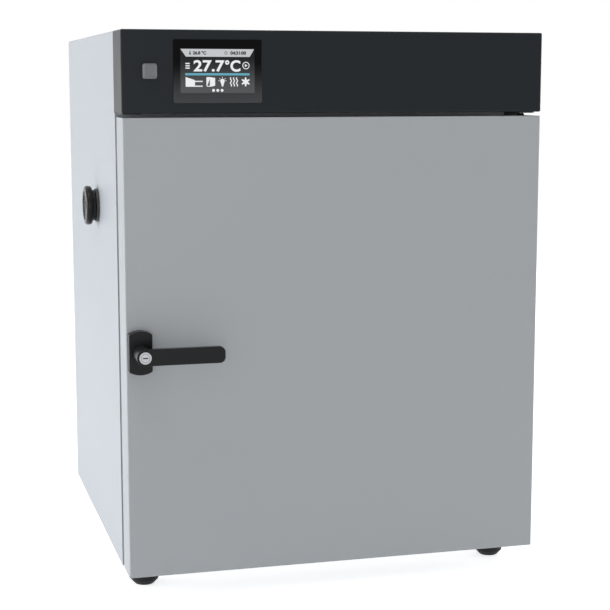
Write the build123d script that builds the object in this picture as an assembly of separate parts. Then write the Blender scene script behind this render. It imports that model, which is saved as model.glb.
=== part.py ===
from build123d import *
from math import atan2, cos, degrees, radians, sin
import os

os.makedirs("parts", exist_ok=True)

# A cooled laboratory incubator with one solid door, a touch display and a key lock.
# All sizes are in millimetres. X runs to the right, Y to the rear and Z up.
# The origin is on the floor, midway across the cabinet and from door front to rear.

# Chamber, walls and sheet metal
CHAMBER_WIDTH = 460.0
CHAMBER_HEIGHT = 540.0
CHAMBER_DEPTH = 455.0
CHAMBER_CORNER_RADIUS = 12.0
PLENUM_DEPTH = 55.0
SIDE_INSULATION = 91.6
BASE_INSULATION = 73.8
TOP_INSULATION = 73.0
REAR_INSULATION = 50.0
SERVICE_DEPTH = 71.6
SHEET = 1.2
LINER_SHEET = 1.0
BEND_RADIUS = 3.0
FOLD_WIDTH = 15.0
CLEARANCE = 0.3
RUNNING_FIT = 0.05

# Feet
FOOT_HEIGHT = 37.0
FOOT_RADIUS = 22.0
FOOT_SOLE_RADIUS = 15.0
FOOT_TAPER_HEIGHT = 8.0
FOOT_SIDE_INSET = 37.0
FOOT_END_INSET = 22.0

# Control panel and display
PANEL_HEIGHT = 120.0
PANEL_OVERLAP = 7.0
PANEL_STEP = 1.8
PANEL_WALL = 2.0
PANEL_EDGE_RADIUS = 2.5
GLASS_WIDTH = 131.0
GLASS_HEIGHT = 91.2
GLASS_PROUD = 0.8
GLASS_CORNER_RADIUS = 3.0
GLASS_SIDE_INSET = 75.8
GLASS_TOP_INSET = 14.0
LCD_WIDTH = 122.0
LCD_HEIGHT = 78.0
LCD_THICKNESS = 12.0
LCD_FLANGE = 4.0
BOARD_WIDTH = 140.0
BOARD_HEIGHT = 88.0
BOARD_THICKNESS = 1.6
BOARD_GAP = 10.0
BOARD_POST = 6.0

# Power button
BUTTON_WIDTH = 20.3
BUTTON_HEIGHT = 22.0
BUTTON_PROUD = 9.5
BUTTON_DEPTH = 16.0
BUTTON_CORNER_RADIUS = 3.5
BUTTON_BEVEL = 1.6
BUTTON_TRAVEL = 3.0
BUTTON_SIDE_INSET = 40.8
BUTTON_PLAY = 0.4
BUTTON_STEM_RADIUS = 4.0
BUTTON_STEM_LENGTH = 10.0
SWITCH_WALL = 2.5
SWITCH_BLOCK = 14.0

# Door
DOOR_THICKNESS = 58.0
DOOR_RISE = 1.0
DOOR_SIDE_INSET = 0.7
DOOR_EDGE_RADIUS = 2.0
HEAD_GAP = 6.0
SEAL_GAP = 12.0
GASKET_WIDTH = 24.0
GASKET_SIDE_INSET = 41.3
GASKET_TOP_INSET = 18.0
GASKET_BOTTOM_INSET = 22.0
GASKET_BASE = 4.0
GASKET_SHOULDER = 4.0
GASKET_CORNER_RADIUS = 10.0
DOOR_PLUG_DEPTH = 6.2
DOOR_PLUG_GAP = 4.0
DOOR_PLUG_TAPER = 25.0

# Hinges
HINGE_SIDE_INSET = 22.3
HINGE_FRONT_INSET = 25.0
HINGE_PIN_RADIUS = 3.0
HINGE_PIN_ENGAGEMENT = 16.0
HINGE_PLATE = 2.0
HINGE_PLATE_MARGIN = 8.5
HINGE_LEG_MARGIN = 3.0
BUSH_RADIUS = 6.0
BUSH_COLLAR_RADIUS = 6.5
BUSH_COLLAR_TOP_RADIUS = 4.2

# Handle, lock and latch
HANDLE_SIDE_INSET = 19.3
HANDLE_HEIGHT = 344.5
ESCUTCHEON_RADIUS = 32.5
ESCUTCHEON_WIDTH = 34.6
ESCUTCHEON_THICKNESS = 16.0
ESCUTCHEON_EDGE = 1.6
HUB_RADIUS = 12.1
LEVER_STANDOFF = 29.2
LEVER_LENGTH = 118.0
LEVER_THICKNESS = 10.5
LEVER_END_RADIUS = 8.5
LEVER_EDGE = 1.3
SPINDLE_RADIUS = 5.0
SPINDLE_SQUARE = 7.0
SPINDLE_TENON = 18.0
SLEEVE_RADIUS = 7.0
SLEEVE_FLANGE_RADIUS = 9.5
SLEEVE_FLANGE = 1.0
LOCK_RADIUS = 8.85
LOCK_DEPTH = 13.0
LOCK_PROUD = 1.5
KEYWAY_LENGTH = 8.0
KEYWAY_WIDTH = 1.6
KEYWAY_DEPTH = 8.0
CAM_THICKNESS = 3.5
CAM_RADIUS = 9.0
CAM_NOSE_WIDTH = 12.0
CAM_NOSE_CLEARANCE = 4.0
KEEPER_STRIP = 2.0
KEEPER_WIDTH = 16.0
KEEPER_LIP = 6.0
KEEPER_FOOT = 20.0
KEEPER_CLEARANCE = 1.2

# Access port in the left wall
PORT_DEPTH = 286.0
PORT_DROP = 75.5
PORT_BORE_RADIUS = 15.0
PORT_TUBE_WALL = 3.0
PORT_FLANGE_RADIUS = 27.0
PORT_FLANGE = 4.5
PORT_INNER_FLANGE = 2.0
PLUG_FIT = 0.1
PLUG_LENGTH = 60.0
PLUG_COLLAR_RADIUS = 25.0
PLUG_COLLAR = 5.2
PLUG_HEAD_RADIUS = 31.5
PLUG_HEAD = 11.0
PLUG_RIM = 2.5
PLUG_DISH_RADIUS = 24.0
PLUG_DISH_DEPTH = 2.0

# Air baffle, circulation fan and heater
BAFFLE_SIDE_GAP = 12.0
BAFFLE_END_GAP = 20.0
BAFFLE_SLOT_LENGTH = 30.0
BAFFLE_SLOT_HEIGHT = 6.0
BAFFLE_SLOT_PITCH = 42.0
BAFFLE_SLOT_INSET = 24.0
INTAKE_RADIUS = 62.0
INTAKE_SLOT = 6.0
INTAKE_PITCH = 12.0
FAN_RISE = 90.0
IMPELLER_RADIUS = 80.0
IMPELLER_EYE_RADIUS = 46.0
IMPELLER_HUB_RADIUS = 12.0
IMPELLER_HUB_LENGTH = 16.0
IMPELLER_DEPTH = 30.0
IMPELLER_GAP = 8.0
IMPELLER_PLATE = 1.5
BLADE_COUNT = 9
BLADE_THICKNESS = 1.5
BLADE_SWEEP = 38.0
SHAFT_RADIUS = 4.0
SHAFT_BUSH_RADIUS = 9.0
MOTOR_RADIUS = 40.0
MOTOR_LENGTH = 52.0
MOTOR_PLATE = 3.0
MOTOR_PLATE_SIDE = 100.0
SHAFT_INSERTION = 30.0
HEATER_RADIUS = 3.5
HEATER_GAP = 14.0
HEATER_END = 12.0
HEATER_FLANGE = 2.0
HEATER_FLANGE_SIDE = 24.0

# Thermoelectric cooler
COOLER_DROP = 135.0
BLOCK_SIDE = 80.0
BLOCK_PLAY = 1.0
MODULE_SIDE = 36.0
MODULE_THICKNESS = 4.0
COLD_SINK_WIDTH = 200.0
COLD_SINK_HEIGHT = 130.0
COLD_FIN_LENGTH = 34.0
HOT_SINK_WIDTH = 150.0
HOT_SINK_HEIGHT = 130.0
SINK_BASE = 8.0
FIN_THICKNESS = 1.6
FIN_PITCH = 10.0
COOLING_FAN_SIDE = 120.0
COOLING_FAN_DEPTH = 25.0
COOLING_FAN_BORE = 57.0
COOLING_HUB_RADIUS = 20.0
COOLING_HUB_DEPTH = 16.0
COOLING_BLADE_COUNT = 5
COOLING_BLADE_CHORD = 20.0
COOLING_BLADE_PITCH = 38.0
COOLING_BLADE_THICKNESS = 2.0
COOLING_TIP_GAP = 2.0
COOLING_SPIDER = 3.0
COOLING_STUB_RADIUS = 3.0
COOLING_STRUT_WIDTH = 6.0

# Racks and shelves
UPRIGHT_DEPTH = 6.0
UPRIGHT_WIDTH = 22.0
UPRIGHT_END_GAP = 12.0
UPRIGHT_FRONT_INSET = 65.0
UPRIGHT_REAR_INSET = 55.0
RACK_PITCH = 40.0
RACK_START = 25.0
RACK_SLOT_LENGTH = 14.0
RACK_SLOT_HEIGHT = 3.4
RUNNER_SHEET = 1.5
RUNNER_HEIGHT = 14.0
RUNNER_LEDGE = 15.0
RUNNER_OVERHANG = 30.0
RUNNER_TAB = 10.0
RUNNER_TAB_HEIGHT = 2.8
LOWER_SHELF_SLOT_COUNT = 4
UPPER_SHELF_SLOT_COUNT = 8
SHELF_SHEET = 1.2
SHELF_RIM = 12.0
SHELF_BORDER = 18.0
SHELF_SLOT_WIDTH = 7.0
SHELF_SLOT_COLUMNS = 4
SHELF_SLOT_ROWS = 12
SHELF_SLOT_BRIDGE = 16.0
SHELF_FRONT_GAP = 22.0
SHELF_REAR_GAP = 14.0

# Lamp and temperature probe
LAMP_WIDTH = 90.0
LAMP_DEPTH = 30.0
LAMP_DROP = 7.0
LAMP_BODY_MARGIN = 5.0
LAMP_BODY_HEIGHT = 24.0
LAMP_SETBACK = 120.0
PROBE_RADIUS = 2.5
PROBE_REACH = 90.0
PROBE_FLANGE_RADIUS = 9.0
PROBE_FLANGE = 3.0
PROBE_OFFSET = 150.0
PROBE_RISE = 215.0

# Rear cover, power supply and mains inlet
LOUVRE_LENGTH = 60.0
LOUVRE_DEPTH = 7.0
LOUVRE_PITCH = 22.0
LOUVRE_ROWS = 5
LOUVRE_OFFSET = 150.0
GRILLE_SLOT = 6.0
GRILLE_PITCH = 12.0
SUPPLY_WIDTH = 200.0
SUPPLY_DEPTH = 100.0
SUPPLY_HEIGHT = 45.0
SUPPLY_WALL = 2.0
SUPPLY_OFFSET = 90.0
SUPPLY_SETBACK = 90.0
SUPPLY_VENT = 4.0
INLET_WIDTH = 27.0
INLET_HEIGHT = 20.0
INLET_DEPTH = 22.0
INLET_FLANGE_WIDTH = 48.0
INLET_FLANGE_HEIGHT = 28.0
INLET_FLANGE = 2.5
INLET_WALL = 2.0
INLET_CHAMFER = 5.0
INLET_SIDE_INSET = 70.0
PIN_LENGTH = 16.0
PIN_WIDTH = 4.0
PIN_THICKNESS = 2.0
PIN_PITCH = 7.0

# Width positions
CHAMBER_HALF = CHAMBER_WIDTH / 2
LINER_HALF = CHAMBER_HALF + LINER_SHEET
FOLD_HALF = LINER_HALF + SIDE_INSULATION
INNER_HALF = FOLD_HALF + SHEET
CASE_HALF = INNER_HALF + SHEET
DOOR_HALF = CASE_HALF - DOOR_SIDE_INSET

# Heights
BASE_Z = FOOT_HEIGHT
PAN_TOP_Z = BASE_Z + SHEET
FLOOR_Z = PAN_TOP_Z + BASE_INSULATION + LINER_SHEET
CEILING_Z = FLOOR_Z + CHAMBER_HEIGHT
PORT_Z = CEILING_Z - PORT_DROP
CHAMBER_MID_Z = (FLOOR_Z + CEILING_Z) / 2
DECK_Z = CEILING_Z + LINER_SHEET + TOP_INSULATION
DECK_TOP_Z = DECK_Z + SHEET
PANEL_Z = DECK_TOP_Z + PANEL_STEP
TOP_Z = PANEL_Z + PANEL_HEIGHT
PANEL_MID_Z = (PANEL_Z + TOP_Z) / 2
DOOR_BOTTOM_Z = BASE_Z + DOOR_RISE
DOOR_TOP_Z = PANEL_Z - HEAD_GAP
HANDLE_Z = DOOR_BOTTOM_Z + HANDLE_HEIGHT

# Depth positions
TOTAL_DEPTH = (
    DOOR_THICKNESS
    + SEAL_GAP
    + CHAMBER_DEPTH
    + LINER_SHEET
    + REAR_INSULATION
    + SERVICE_DEPTH
    + 2 * SHEET
)
DOOR_FRONT = -TOTAL_DEPTH / 2
DOOR_BACK = DOOR_FRONT + DOOR_THICKNESS
FRAME_FRONT = DOOR_BACK + SEAL_GAP
FRAME_BACK = FRAME_FRONT + SHEET
PANEL_BACK = FRAME_FRONT + PANEL_OVERLAP
CHAMBER_REAR = FRAME_FRONT + CHAMBER_DEPTH
LINER_BACK = CHAMBER_REAR + LINER_SHEET
BULKHEAD_FRONT = LINER_BACK + REAR_INSULATION
BULKHEAD_BACK = BULKHEAD_FRONT + SHEET
COVER_FRONT = BULKHEAD_BACK + SERVICE_DEPTH
REAR = COVER_FRONT + SHEET
BAFFLE_FRONT = CHAMBER_REAR - PLENUM_DEPTH
BAFFLE_BACK = BAFFLE_FRONT + LINER_SHEET

# Axes of what turns, slides or passes through a wall
HINGE_X = DOOR_HALF - HINGE_SIDE_INSET
HINGE_Y = DOOR_FRONT + HINGE_FRONT_INSET
HANDLE_X = -DOOR_HALF + HANDLE_SIDE_INSET
FAN_Z = CHAMBER_MID_Z + FAN_RISE
COOLER_Z = CHAMBER_MID_Z - COOLER_DROP
PORT_Y = DOOR_FRONT + PORT_DEPTH
BUTTON_X = -CASE_HALF + BUTTON_SIDE_INSET
GLASS_X = -CASE_HALF + GLASS_SIDE_INSET + GLASS_WIDTH / 2
GLASS_Z = TOP_Z - GLASS_TOP_INSET - GLASS_HEIGHT / 2
LAMP_Y = FRAME_FRONT + LAMP_SETBACK
PROBE_Z = CHAMBER_MID_Z + PROBE_RISE
INLET_X = CASE_HALF - INLET_SIDE_INSET
SUPPLY_Y = COVER_FRONT - SUPPLY_SETBACK

# Derived sizes shared by several pieces
PORT_TUBE_RADIUS = PORT_BORE_RADIUS + PORT_TUBE_WALL
PORT_HOLE_RADIUS = PORT_TUBE_RADIUS + CLEARANCE
SHAFT_HOLE_RADIUS = SHAFT_BUSH_RADIUS + CLEARANCE
PANEL_INNER_Y = DOOR_FRONT + PANEL_WALL
ESCUTCHEON_FRONT = DOOR_FRONT - ESCUTCHEON_THICKNESS
HUB_BACK = ESCUTCHEON_FRONT - CLEARANCE
LEVER_BACK = HUB_BACK - LEVER_STANDOFF
LEVER_FRONT = LEVER_BACK - LEVER_THICKNESS
DOOR_LINER_BACK = DOOR_BACK - SHEET
DOOR_LINER_FRONT = DOOR_LINER_BACK - LINER_SHEET
DOOR_FOLD = HANDLE_SIDE_INSET - SHEET - SLEEVE_FLANGE_RADIUS - CLEARANCE
GASKET_HALF = DOOR_HALF - GASKET_SIDE_INSET
GASKET_TOP_Z = DOOR_TOP_Z - GASKET_TOP_INSET
GASKET_BOTTOM_Z = DOOR_BOTTOM_Z + GASKET_BOTTOM_INSET
CAM_BACK = DOOR_BACK + (SEAL_GAP - CAM_THICKNESS) / 2 + CAM_THICKNESS / 2
CAM_FRONT = CAM_BACK - CAM_THICKNESS
CAM_NOSE = HANDLE_X * -1 - GASKET_HALF - CAM_NOSE_CLEARANCE
KEEPER_LIP_Z = HANDLE_Z + CAM_NOSE + KEEPER_CLEARANCE
KEEPER_LIP_BACK = CAM_FRONT - CLEARANCE
HEATER_REACH = IMPELLER_RADIUS + HEATER_GAP
HEATER_Y = CHAMBER_REAR - IMPELLER_GAP - IMPELLER_DEPTH / 2
HEATER_TOP_Z = FAN_Z + HEATER_REACH
UPRIGHT_X = CHAMBER_HALF - UPRIGHT_DEPTH
UPRIGHT_YS = (FRAME_FRONT + UPRIGHT_FRONT_INSET, BAFFLE_FRONT - UPRIGHT_REAR_INSET)
RUNNER_FRONT = UPRIGHT_YS[0] - RUNNER_OVERHANG
RUNNER_BACK = UPRIGHT_YS[1] + RUNNER_OVERHANG
SHELF_FRONT = FRAME_FRONT + SHELF_FRONT_GAP
SHELF_BACK = BAFFLE_FRONT - SHELF_REAR_GAP
SHELF_HALF = UPRIGHT_X - RUNNER_SHEET - CLEARANCE
FOOT_XS = (-CASE_HALF + FOOT_SIDE_INSET, CASE_HALF - FOOT_SIDE_INSET)
FOOT_YS = (FRAME_FRONT + FOOT_END_INSET, REAR - FOOT_END_INSET - FOOT_RADIUS)


def block(x, y, z):
    """Block between the low and high limits of each axis."""
    limits = (x, y, z)
    size = [high - low for low, high in limits]
    middle = [(low + high) / 2 for low, high in limits]
    return Pos(*middle) * Box(*size)


def front_plate(profile, y_front, y_back):
    """Profile drawn in width and height, made solid between two depths."""
    return extrude(Plane.XZ.offset(-y_back) * profile, y_back - y_front)


def bar(axis, radius, low, high, first, second):
    """Round bar along an axis; the last two values are its place across that axis."""
    middle = (low + high) / 2
    cylinder = Cylinder(radius, high - low)
    if axis == "X":
        return Pos(middle, first, second) * Rot(0, 90, 0) * cylinder
    if axis == "Y":
        return Pos(first, middle, second) * Rot(90, 0, 0) * cylinder
    return Pos(first, second, middle) * cylinder


def turned(points):
    """Solid turned about Z from an outline of radius and height points."""
    outline = Polyline(*points, close=True)
    return revolve(Plane.XZ * make_face(outline), Axis.Z)


def window(half_width, z_low, z_high, radius):
    """Rounded rectangle, symmetric in width, between two heights."""
    height = z_high - z_low
    return Pos(0, (z_low + z_high) / 2) * RectangleRounded(2 * half_width, height, radius)


def oblong(half_width, z_low, z_high):
    """Plain rectangle, symmetric in width, between two heights."""
    return Pos(0, (z_low + z_high) / 2) * Rectangle(2 * half_width, z_high - z_low)


# Cabinet shell


def make_casing():
    """Outer wrap of sheet steel: left side, top and right side with rear folds."""
    outer = oblong(CASE_HALF, BASE_Z, TOP_Z)
    outer = fillet(outer.vertices().group_by(Axis.Y)[-1], BEND_RADIUS)
    inner = oblong(INNER_HALF, BASE_Z, TOP_Z - SHEET)
    inner = fillet(inner.vertices().group_by(Axis.Y)[-1], BEND_RADIUS - SHEET)
    wrap = front_plate(outer - inner, FRAME_FRONT, REAR)
    wrap -= block((-CASE_HALF, CASE_HALF), (FRAME_FRONT, PANEL_BACK), (PANEL_Z, TOP_Z))
    fold = inner - oblong(INNER_HALF - FOLD_WIDTH, BASE_Z, TOP_Z - SHEET - FOLD_WIDTH)
    fold -= oblong(CASE_HALF, BASE_Z, PAN_TOP_Z)
    wrap += front_plate(fold, COVER_FRONT - SHEET, COVER_FRONT)
    return wrap - bar("X", PORT_HOLE_RADIUS, -CASE_HALF, -INNER_HALF, PORT_Y, PORT_Z)


def make_front_frame():
    """Face of the cabinet that the door seals on, with side folds along the walls."""
    face = oblong(INNER_HALF, BASE_Z, PANEL_Z)
    face -= window(CHAMBER_HALF, FLOOR_Z, CEILING_Z, CHAMBER_CORNER_RADIUS)
    frame = front_plate(face, FRAME_FRONT, FRAME_BACK)
    depth = (FRAME_BACK, FRAME_FRONT + FOLD_WIDTH)
    frame += block((FOLD_HALF, INNER_HALF), depth, (PAN_TOP_Z, DECK_Z))
    return frame + block((-INNER_HALF, -FOLD_HALF), depth, (PAN_TOP_Z, DECK_Z))


def make_base_pan():
    """Bottom tray with side and rear upstands."""
    front = FRAME_BACK
    pan = block((-INNER_HALF, INNER_HALF), (front, COVER_FRONT), (BASE_Z, PAN_TOP_Z))
    upstand = (PAN_TOP_Z, BASE_Z + FOLD_WIDTH)
    side_depth = (FRAME_FRONT + FOLD_WIDTH + CLEARANCE, COVER_FRONT - SHEET)
    pan += block((FOLD_HALF, INNER_HALF), side_depth, upstand)
    pan += block((-INNER_HALF, -FOLD_HALF), side_depth, upstand)
    rear_half = INNER_HALF - FOLD_WIDTH - CLEARANCE
    return pan + block((-rear_half, rear_half), (COVER_FRONT - SHEET, COVER_FRONT), upstand)


def make_rear_bulkhead():
    """Steel wall behind the insulation that carries the motor and the cooler."""
    depth = (BULKHEAD_FRONT, BULKHEAD_BACK)
    wall = block((-INNER_HALF, INNER_HALF), depth, (PAN_TOP_Z, DECK_Z))
    wall -= block((-INNER_HALF, -FOLD_HALF), depth, (PAN_TOP_Z, BASE_Z + FOLD_WIDTH))
    wall -= block((FOLD_HALF, INNER_HALF), depth, (PAN_TOP_Z, BASE_Z + FOLD_WIDTH))
    fold = (BULKHEAD_BACK, BULKHEAD_FRONT + FOLD_WIDTH)
    height = (BASE_Z + FOLD_WIDTH, DECK_Z)
    wall += block((FOLD_HALF, INNER_HALF), fold, height)
    wall += block((-INNER_HALF, -FOLD_HALF), fold, height)
    return wall - rear_wall_cuts(BULKHEAD_FRONT, BULKHEAD_BACK)


def rear_wall_cuts(y_front, y_back):
    """Openings through the rear wall for the cooler, the shaft and the heater legs."""
    half = BLOCK_SIDE / 2 + BLOCK_PLAY
    depth = (y_front, y_back)
    cuts = block((-half, half), depth, (COOLER_Z - half, COOLER_Z + half))
    cuts += bar("Y", SHAFT_HOLE_RADIUS, y_front, y_back, 0, FAN_Z)
    reach = HEATER_RADIUS + CLEARANCE
    height = (HEATER_TOP_Z - reach, HEATER_TOP_Z + reach)
    for x in (-HEATER_REACH, HEATER_REACH):
        cuts += block((x - reach, x + reach), depth, height)
    return cuts


def make_service_deck():
    """Shelf of sheet steel between the chamber insulation and the electronics bay."""
    depth = (FRAME_BACK, COVER_FRONT - SHEET)
    deck = block((-INNER_HALF, INNER_HALF), depth, (DECK_Z, DECK_TOP_Z))
    fold_depth = (PANEL_BACK, COVER_FRONT - SHEET)
    height = (DECK_TOP_Z, DECK_Z + FOLD_WIDTH)
    deck += block((FOLD_HALF, INNER_HALF), fold_depth, height)
    deck += block((-INNER_HALF, -FOLD_HALF), fold_depth, height)
    return deck


def make_rear_cover():
    """Screwed rear cover with intake louvres, a fan grille and the inlet cut-out."""
    profile = oblong(INNER_HALF, BASE_Z, TOP_Z - SHEET)
    profile = fillet(profile.vertices().group_by(Axis.Y)[-1], BEND_RADIUS - SHEET)
    profile -= Pos(0, COOLER_Z) * slot_disc(COOLING_FAN_BORE, GRILLE_SLOT, GRILLE_PITCH)
    profile -= Pos(INLET_X, PANEL_MID_Z) * inlet_outline(CLEARANCE)
    cover = front_plate(profile, COVER_FRONT, REAR)
    for x in (-LOUVRE_OFFSET, LOUVRE_OFFSET):
        for z in louvre_heights():
            cover -= louvre_cut(x, z)
            cover += louvre_hood(x, z)
    return cover


def slot_disc(radius, slot, pitch):
    """Level slots a pitch apart, as long as a disc of the given radius allows."""
    rows = int((radius - pitch / 2) / pitch)
    slots = Sketch()
    for row in range(-rows, rows + 1):
        length = 2 * ((radius - slot / 2) ** 2 - (row * pitch) ** 2) ** 0.5
        slots += Pos(0, row * pitch) * Rectangle(length, slot)
    return slots


def louvre_heights():
    """Heights of the louvre rows beside the cooling fan."""
    first = COOLER_Z - (LOUVRE_ROWS - 1) * LOUVRE_PITCH / 2
    return [first + row * LOUVRE_PITCH for row in range(LOUVRE_ROWS)]


def louvre_wedge(x, z, depth, length):
    """Wedge that leans inwards from the rear cover, deepest at its lower edge."""
    side = make_face(
        Polyline((COVER_FRONT, z), (COVER_FRONT - depth, z), (COVER_FRONT, z + depth), close=True)
    )
    return Pos(x - length / 2, 0, 0) * extrude(Plane.YZ * side, length)


def louvre_hood(x, z):
    """Pressed hood of one louvre, open along its lower edge."""
    outer = louvre_wedge(x, z, LOUVRE_DEPTH, LOUVRE_LENGTH + 2 * SHEET)
    return outer - louvre_wedge(x, z, LOUVRE_DEPTH - 1.5 * SHEET, LOUVRE_LENGTH)


def louvre_cut(x, z):
    """Slot in the sheet in front of one louvre hood."""
    width = (x - LOUVRE_LENGTH / 2, x + LOUVRE_LENGTH / 2)
    return block(width, (COVER_FRONT, REAR), (z, z + LOUVRE_DEPTH - 1.5 * SHEET))


def make_insulation():
    """Five slabs of mineral wool around the chamber."""
    front = FRAME_BACK + LINER_SHEET
    depth = (front, BULKHEAD_FRONT)
    height = (PAN_TOP_Z, DECK_Z)
    inner = (-LINER_HALF, LINER_HALF)
    left = block((-FOLD_HALF, -LINER_HALF), depth, height)
    left -= bar("X", PORT_HOLE_RADIUS, -FOLD_HALF, -LINER_HALF, PORT_Y, PORT_Z)
    right = block((LINER_HALF, FOLD_HALF), depth, height)
    base = block(inner, depth, (PAN_TOP_Z, FLOOR_Z - LINER_SHEET))
    top = block(inner, depth, (CEILING_Z + LINER_SHEET, DECK_Z))
    top -= lamp_body(CLEARANCE)
    height = (FLOOR_Z - LINER_SHEET, CEILING_Z + LINER_SHEET)
    rear = block(inner, (LINER_BACK, BULKHEAD_FRONT), height)
    rear -= rear_wall_cuts(LINER_BACK, BULKHEAD_FRONT)
    return Compound(children=[left, right, base, top, rear])


def make_chamber_liner():
    """Deep-drawn stainless chamber with rounded corners and a flange at its mouth."""
    outer_radius = CHAMBER_CORNER_RADIUS + LINER_SHEET
    low = FLOOR_Z - LINER_SHEET
    high = CEILING_Z + LINER_SHEET
    outer = window(LINER_HALF, low, high, outer_radius)
    inner = window(CHAMBER_HALF, FLOOR_Z, CEILING_Z, CHAMBER_CORNER_RADIUS)
    flange = window(
        LINER_HALF + FOLD_WIDTH, low - FOLD_WIDTH, high + FOLD_WIDTH, outer_radius
    )
    liner = front_plate(outer, FRAME_BACK, LINER_BACK)
    liner += front_plate(flange, FRAME_BACK, FRAME_BACK + LINER_SHEET)
    liner -= front_plate(inner, FRAME_BACK, CHAMBER_REAR)
    liner -= rear_wall_cuts(CHAMBER_REAR, LINER_BACK)
    liner -= bar("X", PORT_HOLE_RADIUS, -LINER_HALF, -CHAMBER_HALF, PORT_Y, PORT_Z)
    return liner - lamp_body(CLEARANCE)


# Feet


def make_rubber_feet():
    """Four turned rubber feet with a tapered sole, moulded on studs."""
    foot = turned(
        [
            (0, 0),
            (FOOT_SOLE_RADIUS, 0),
            (FOOT_RADIUS, FOOT_TAPER_HEIGHT),
            (FOOT_RADIUS, FOOT_HEIGHT),
            (0, FOOT_HEIGHT),
        ]
    )
    return Compound(children=[Pos(x, y, 0) * foot for x in FOOT_XS for y in FOOT_YS])


# Control panel


def make_control_housing():
    """Dark control housing across the top front, open at the rear."""
    height = (PANEL_Z, TOP_Z)
    shell = block((-CASE_HALF, CASE_HALF), (DOOR_FRONT, PANEL_BACK), height)
    front = shell.faces().sort_by(Axis.Y)[0]
    depth_edges = shell.edges().filter_by(Axis.Y)
    shell = fillet(front.edges() + depth_edges, PANEL_EDGE_RADIUS)
    inner_half = CASE_HALF - PANEL_WALL
    inner_z = (PANEL_Z + PANEL_WALL, TOP_Z - PANEL_WALL)
    shell -= block((-inner_half, inner_half), (PANEL_INNER_Y, PANEL_BACK), inner_z)
    shell -= front_plate(glass_outline(CLEARANCE), DOOR_FRONT, PANEL_INNER_Y)
    return shell - front_plate(button_outline(BUTTON_PLAY), DOOR_FRONT, PANEL_INNER_Y)


def glass_outline(margin):
    """Outline of the display glass, grown by a margin."""
    outline = RectangleRounded(
        GLASS_WIDTH + 2 * margin, GLASS_HEIGHT + 2 * margin, GLASS_CORNER_RADIUS + margin
    )
    return Pos(GLASS_X, GLASS_Z) * outline


def button_outline(margin):
    """Outline of the power button, grown by a margin."""
    outline = RectangleRounded(
        BUTTON_WIDTH + 2 * margin, BUTTON_HEIGHT + 2 * margin, BUTTON_CORNER_RADIUS + margin
    )
    return Pos(BUTTON_X, GLASS_Z) * outline


def make_display_glass():
    """Cover glass of the touch display, slightly proud of the panel."""
    return front_plate(glass_outline(0), DOOR_FRONT - GLASS_PROUD, PANEL_INNER_Y)


def make_lcd_module():
    """Display module behind the glass, with a flange that bears on the panel."""
    flange = Pos(GLASS_X, GLASS_Z) * Rectangle(
        GLASS_WIDTH + 2 * LCD_FLANGE, GLASS_HEIGHT + 2 * LCD_FLANGE
    )
    body = Pos(GLASS_X, GLASS_Z) * Rectangle(LCD_WIDTH, LCD_HEIGHT)
    module = front_plate(flange, PANEL_INNER_Y, PANEL_INNER_Y + LCD_FLANGE / 2)
    return module + front_plate(body, PANEL_INNER_Y, PANEL_INNER_Y + LCD_THICKNESS)


def make_control_board():
    """Controller board on four posts behind the display module."""
    front = PANEL_INNER_Y + LCD_THICKNESS + BOARD_GAP
    back = front + BOARD_THICKNESS
    outline = Pos(GLASS_X, GLASS_Z) * Rectangle(BOARD_WIDTH, BOARD_HEIGHT)
    board = front_plate(outline, front, back)
    reach_x = LCD_WIDTH / 2 - BOARD_POST
    reach_z = LCD_HEIGHT / 2 - BOARD_POST
    for x in (GLASS_X - reach_x, GLASS_X + reach_x):
        for z in (GLASS_Z - reach_z, GLASS_Z + reach_z):
            post = Pos(x, z) * Rectangle(BOARD_POST, BOARD_POST)
            board += front_plate(post, front - BOARD_GAP, front)
    for index in range(4):
        x = GLASS_X + (index - 1.5) * BOARD_WIDTH / 4
        socket = Pos(x, GLASS_Z - reach_z) * Rectangle(BOARD_WIDTH / 6, BOARD_POST)
        board += front_plate(socket, back, back + BOARD_GAP)
    return board


def make_power_button():
    """Square bevelled push button with a guided stem."""
    front = DOOR_FRONT - BUTTON_PROUD
    back = front + BUTTON_DEPTH
    cap = front_plate(button_outline(0), front, back)
    cap = chamfer(cap.faces().sort_by(Axis.Y)[0].edges(), BUTTON_BEVEL)
    stem_back = back + BUTTON_STEM_LENGTH
    return cap + bar("Y", BUTTON_STEM_RADIUS, back, stem_back, BUTTON_X, GLASS_Z)


def make_button_switch():
    """Switch body that guides the button's cap and stem behind the panel."""
    travel_back = DOOR_FRONT - BUTTON_PROUD + BUTTON_DEPTH + BUTTON_TRAVEL + CLEARANCE
    block_front = travel_back
    block_back = block_front + BUTTON_STEM_LENGTH + SWITCH_BLOCK
    reach_x = BUTTON_WIDTH / 2 + SWITCH_WALL
    reach_z = BUTTON_HEIGHT / 2 + SWITCH_WALL
    width = (BUTTON_X - reach_x, BUTTON_X + reach_x)
    height = (GLASS_Z - reach_z, GLASS_Z + reach_z)
    body = block(width, (PANEL_INNER_Y, block_back), height)
    body -= front_plate(button_outline(BUTTON_PLAY), PANEL_INNER_Y, travel_back)
    bore_back = block_front + BUTTON_STEM_LENGTH + CLEARANCE
    radius = BUTTON_STEM_RADIUS + RUNNING_FIT
    return body - bar("Y", radius, block_front, bore_back, BUTTON_X, GLASS_Z)


# Electronics bay and mains inlet


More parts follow.
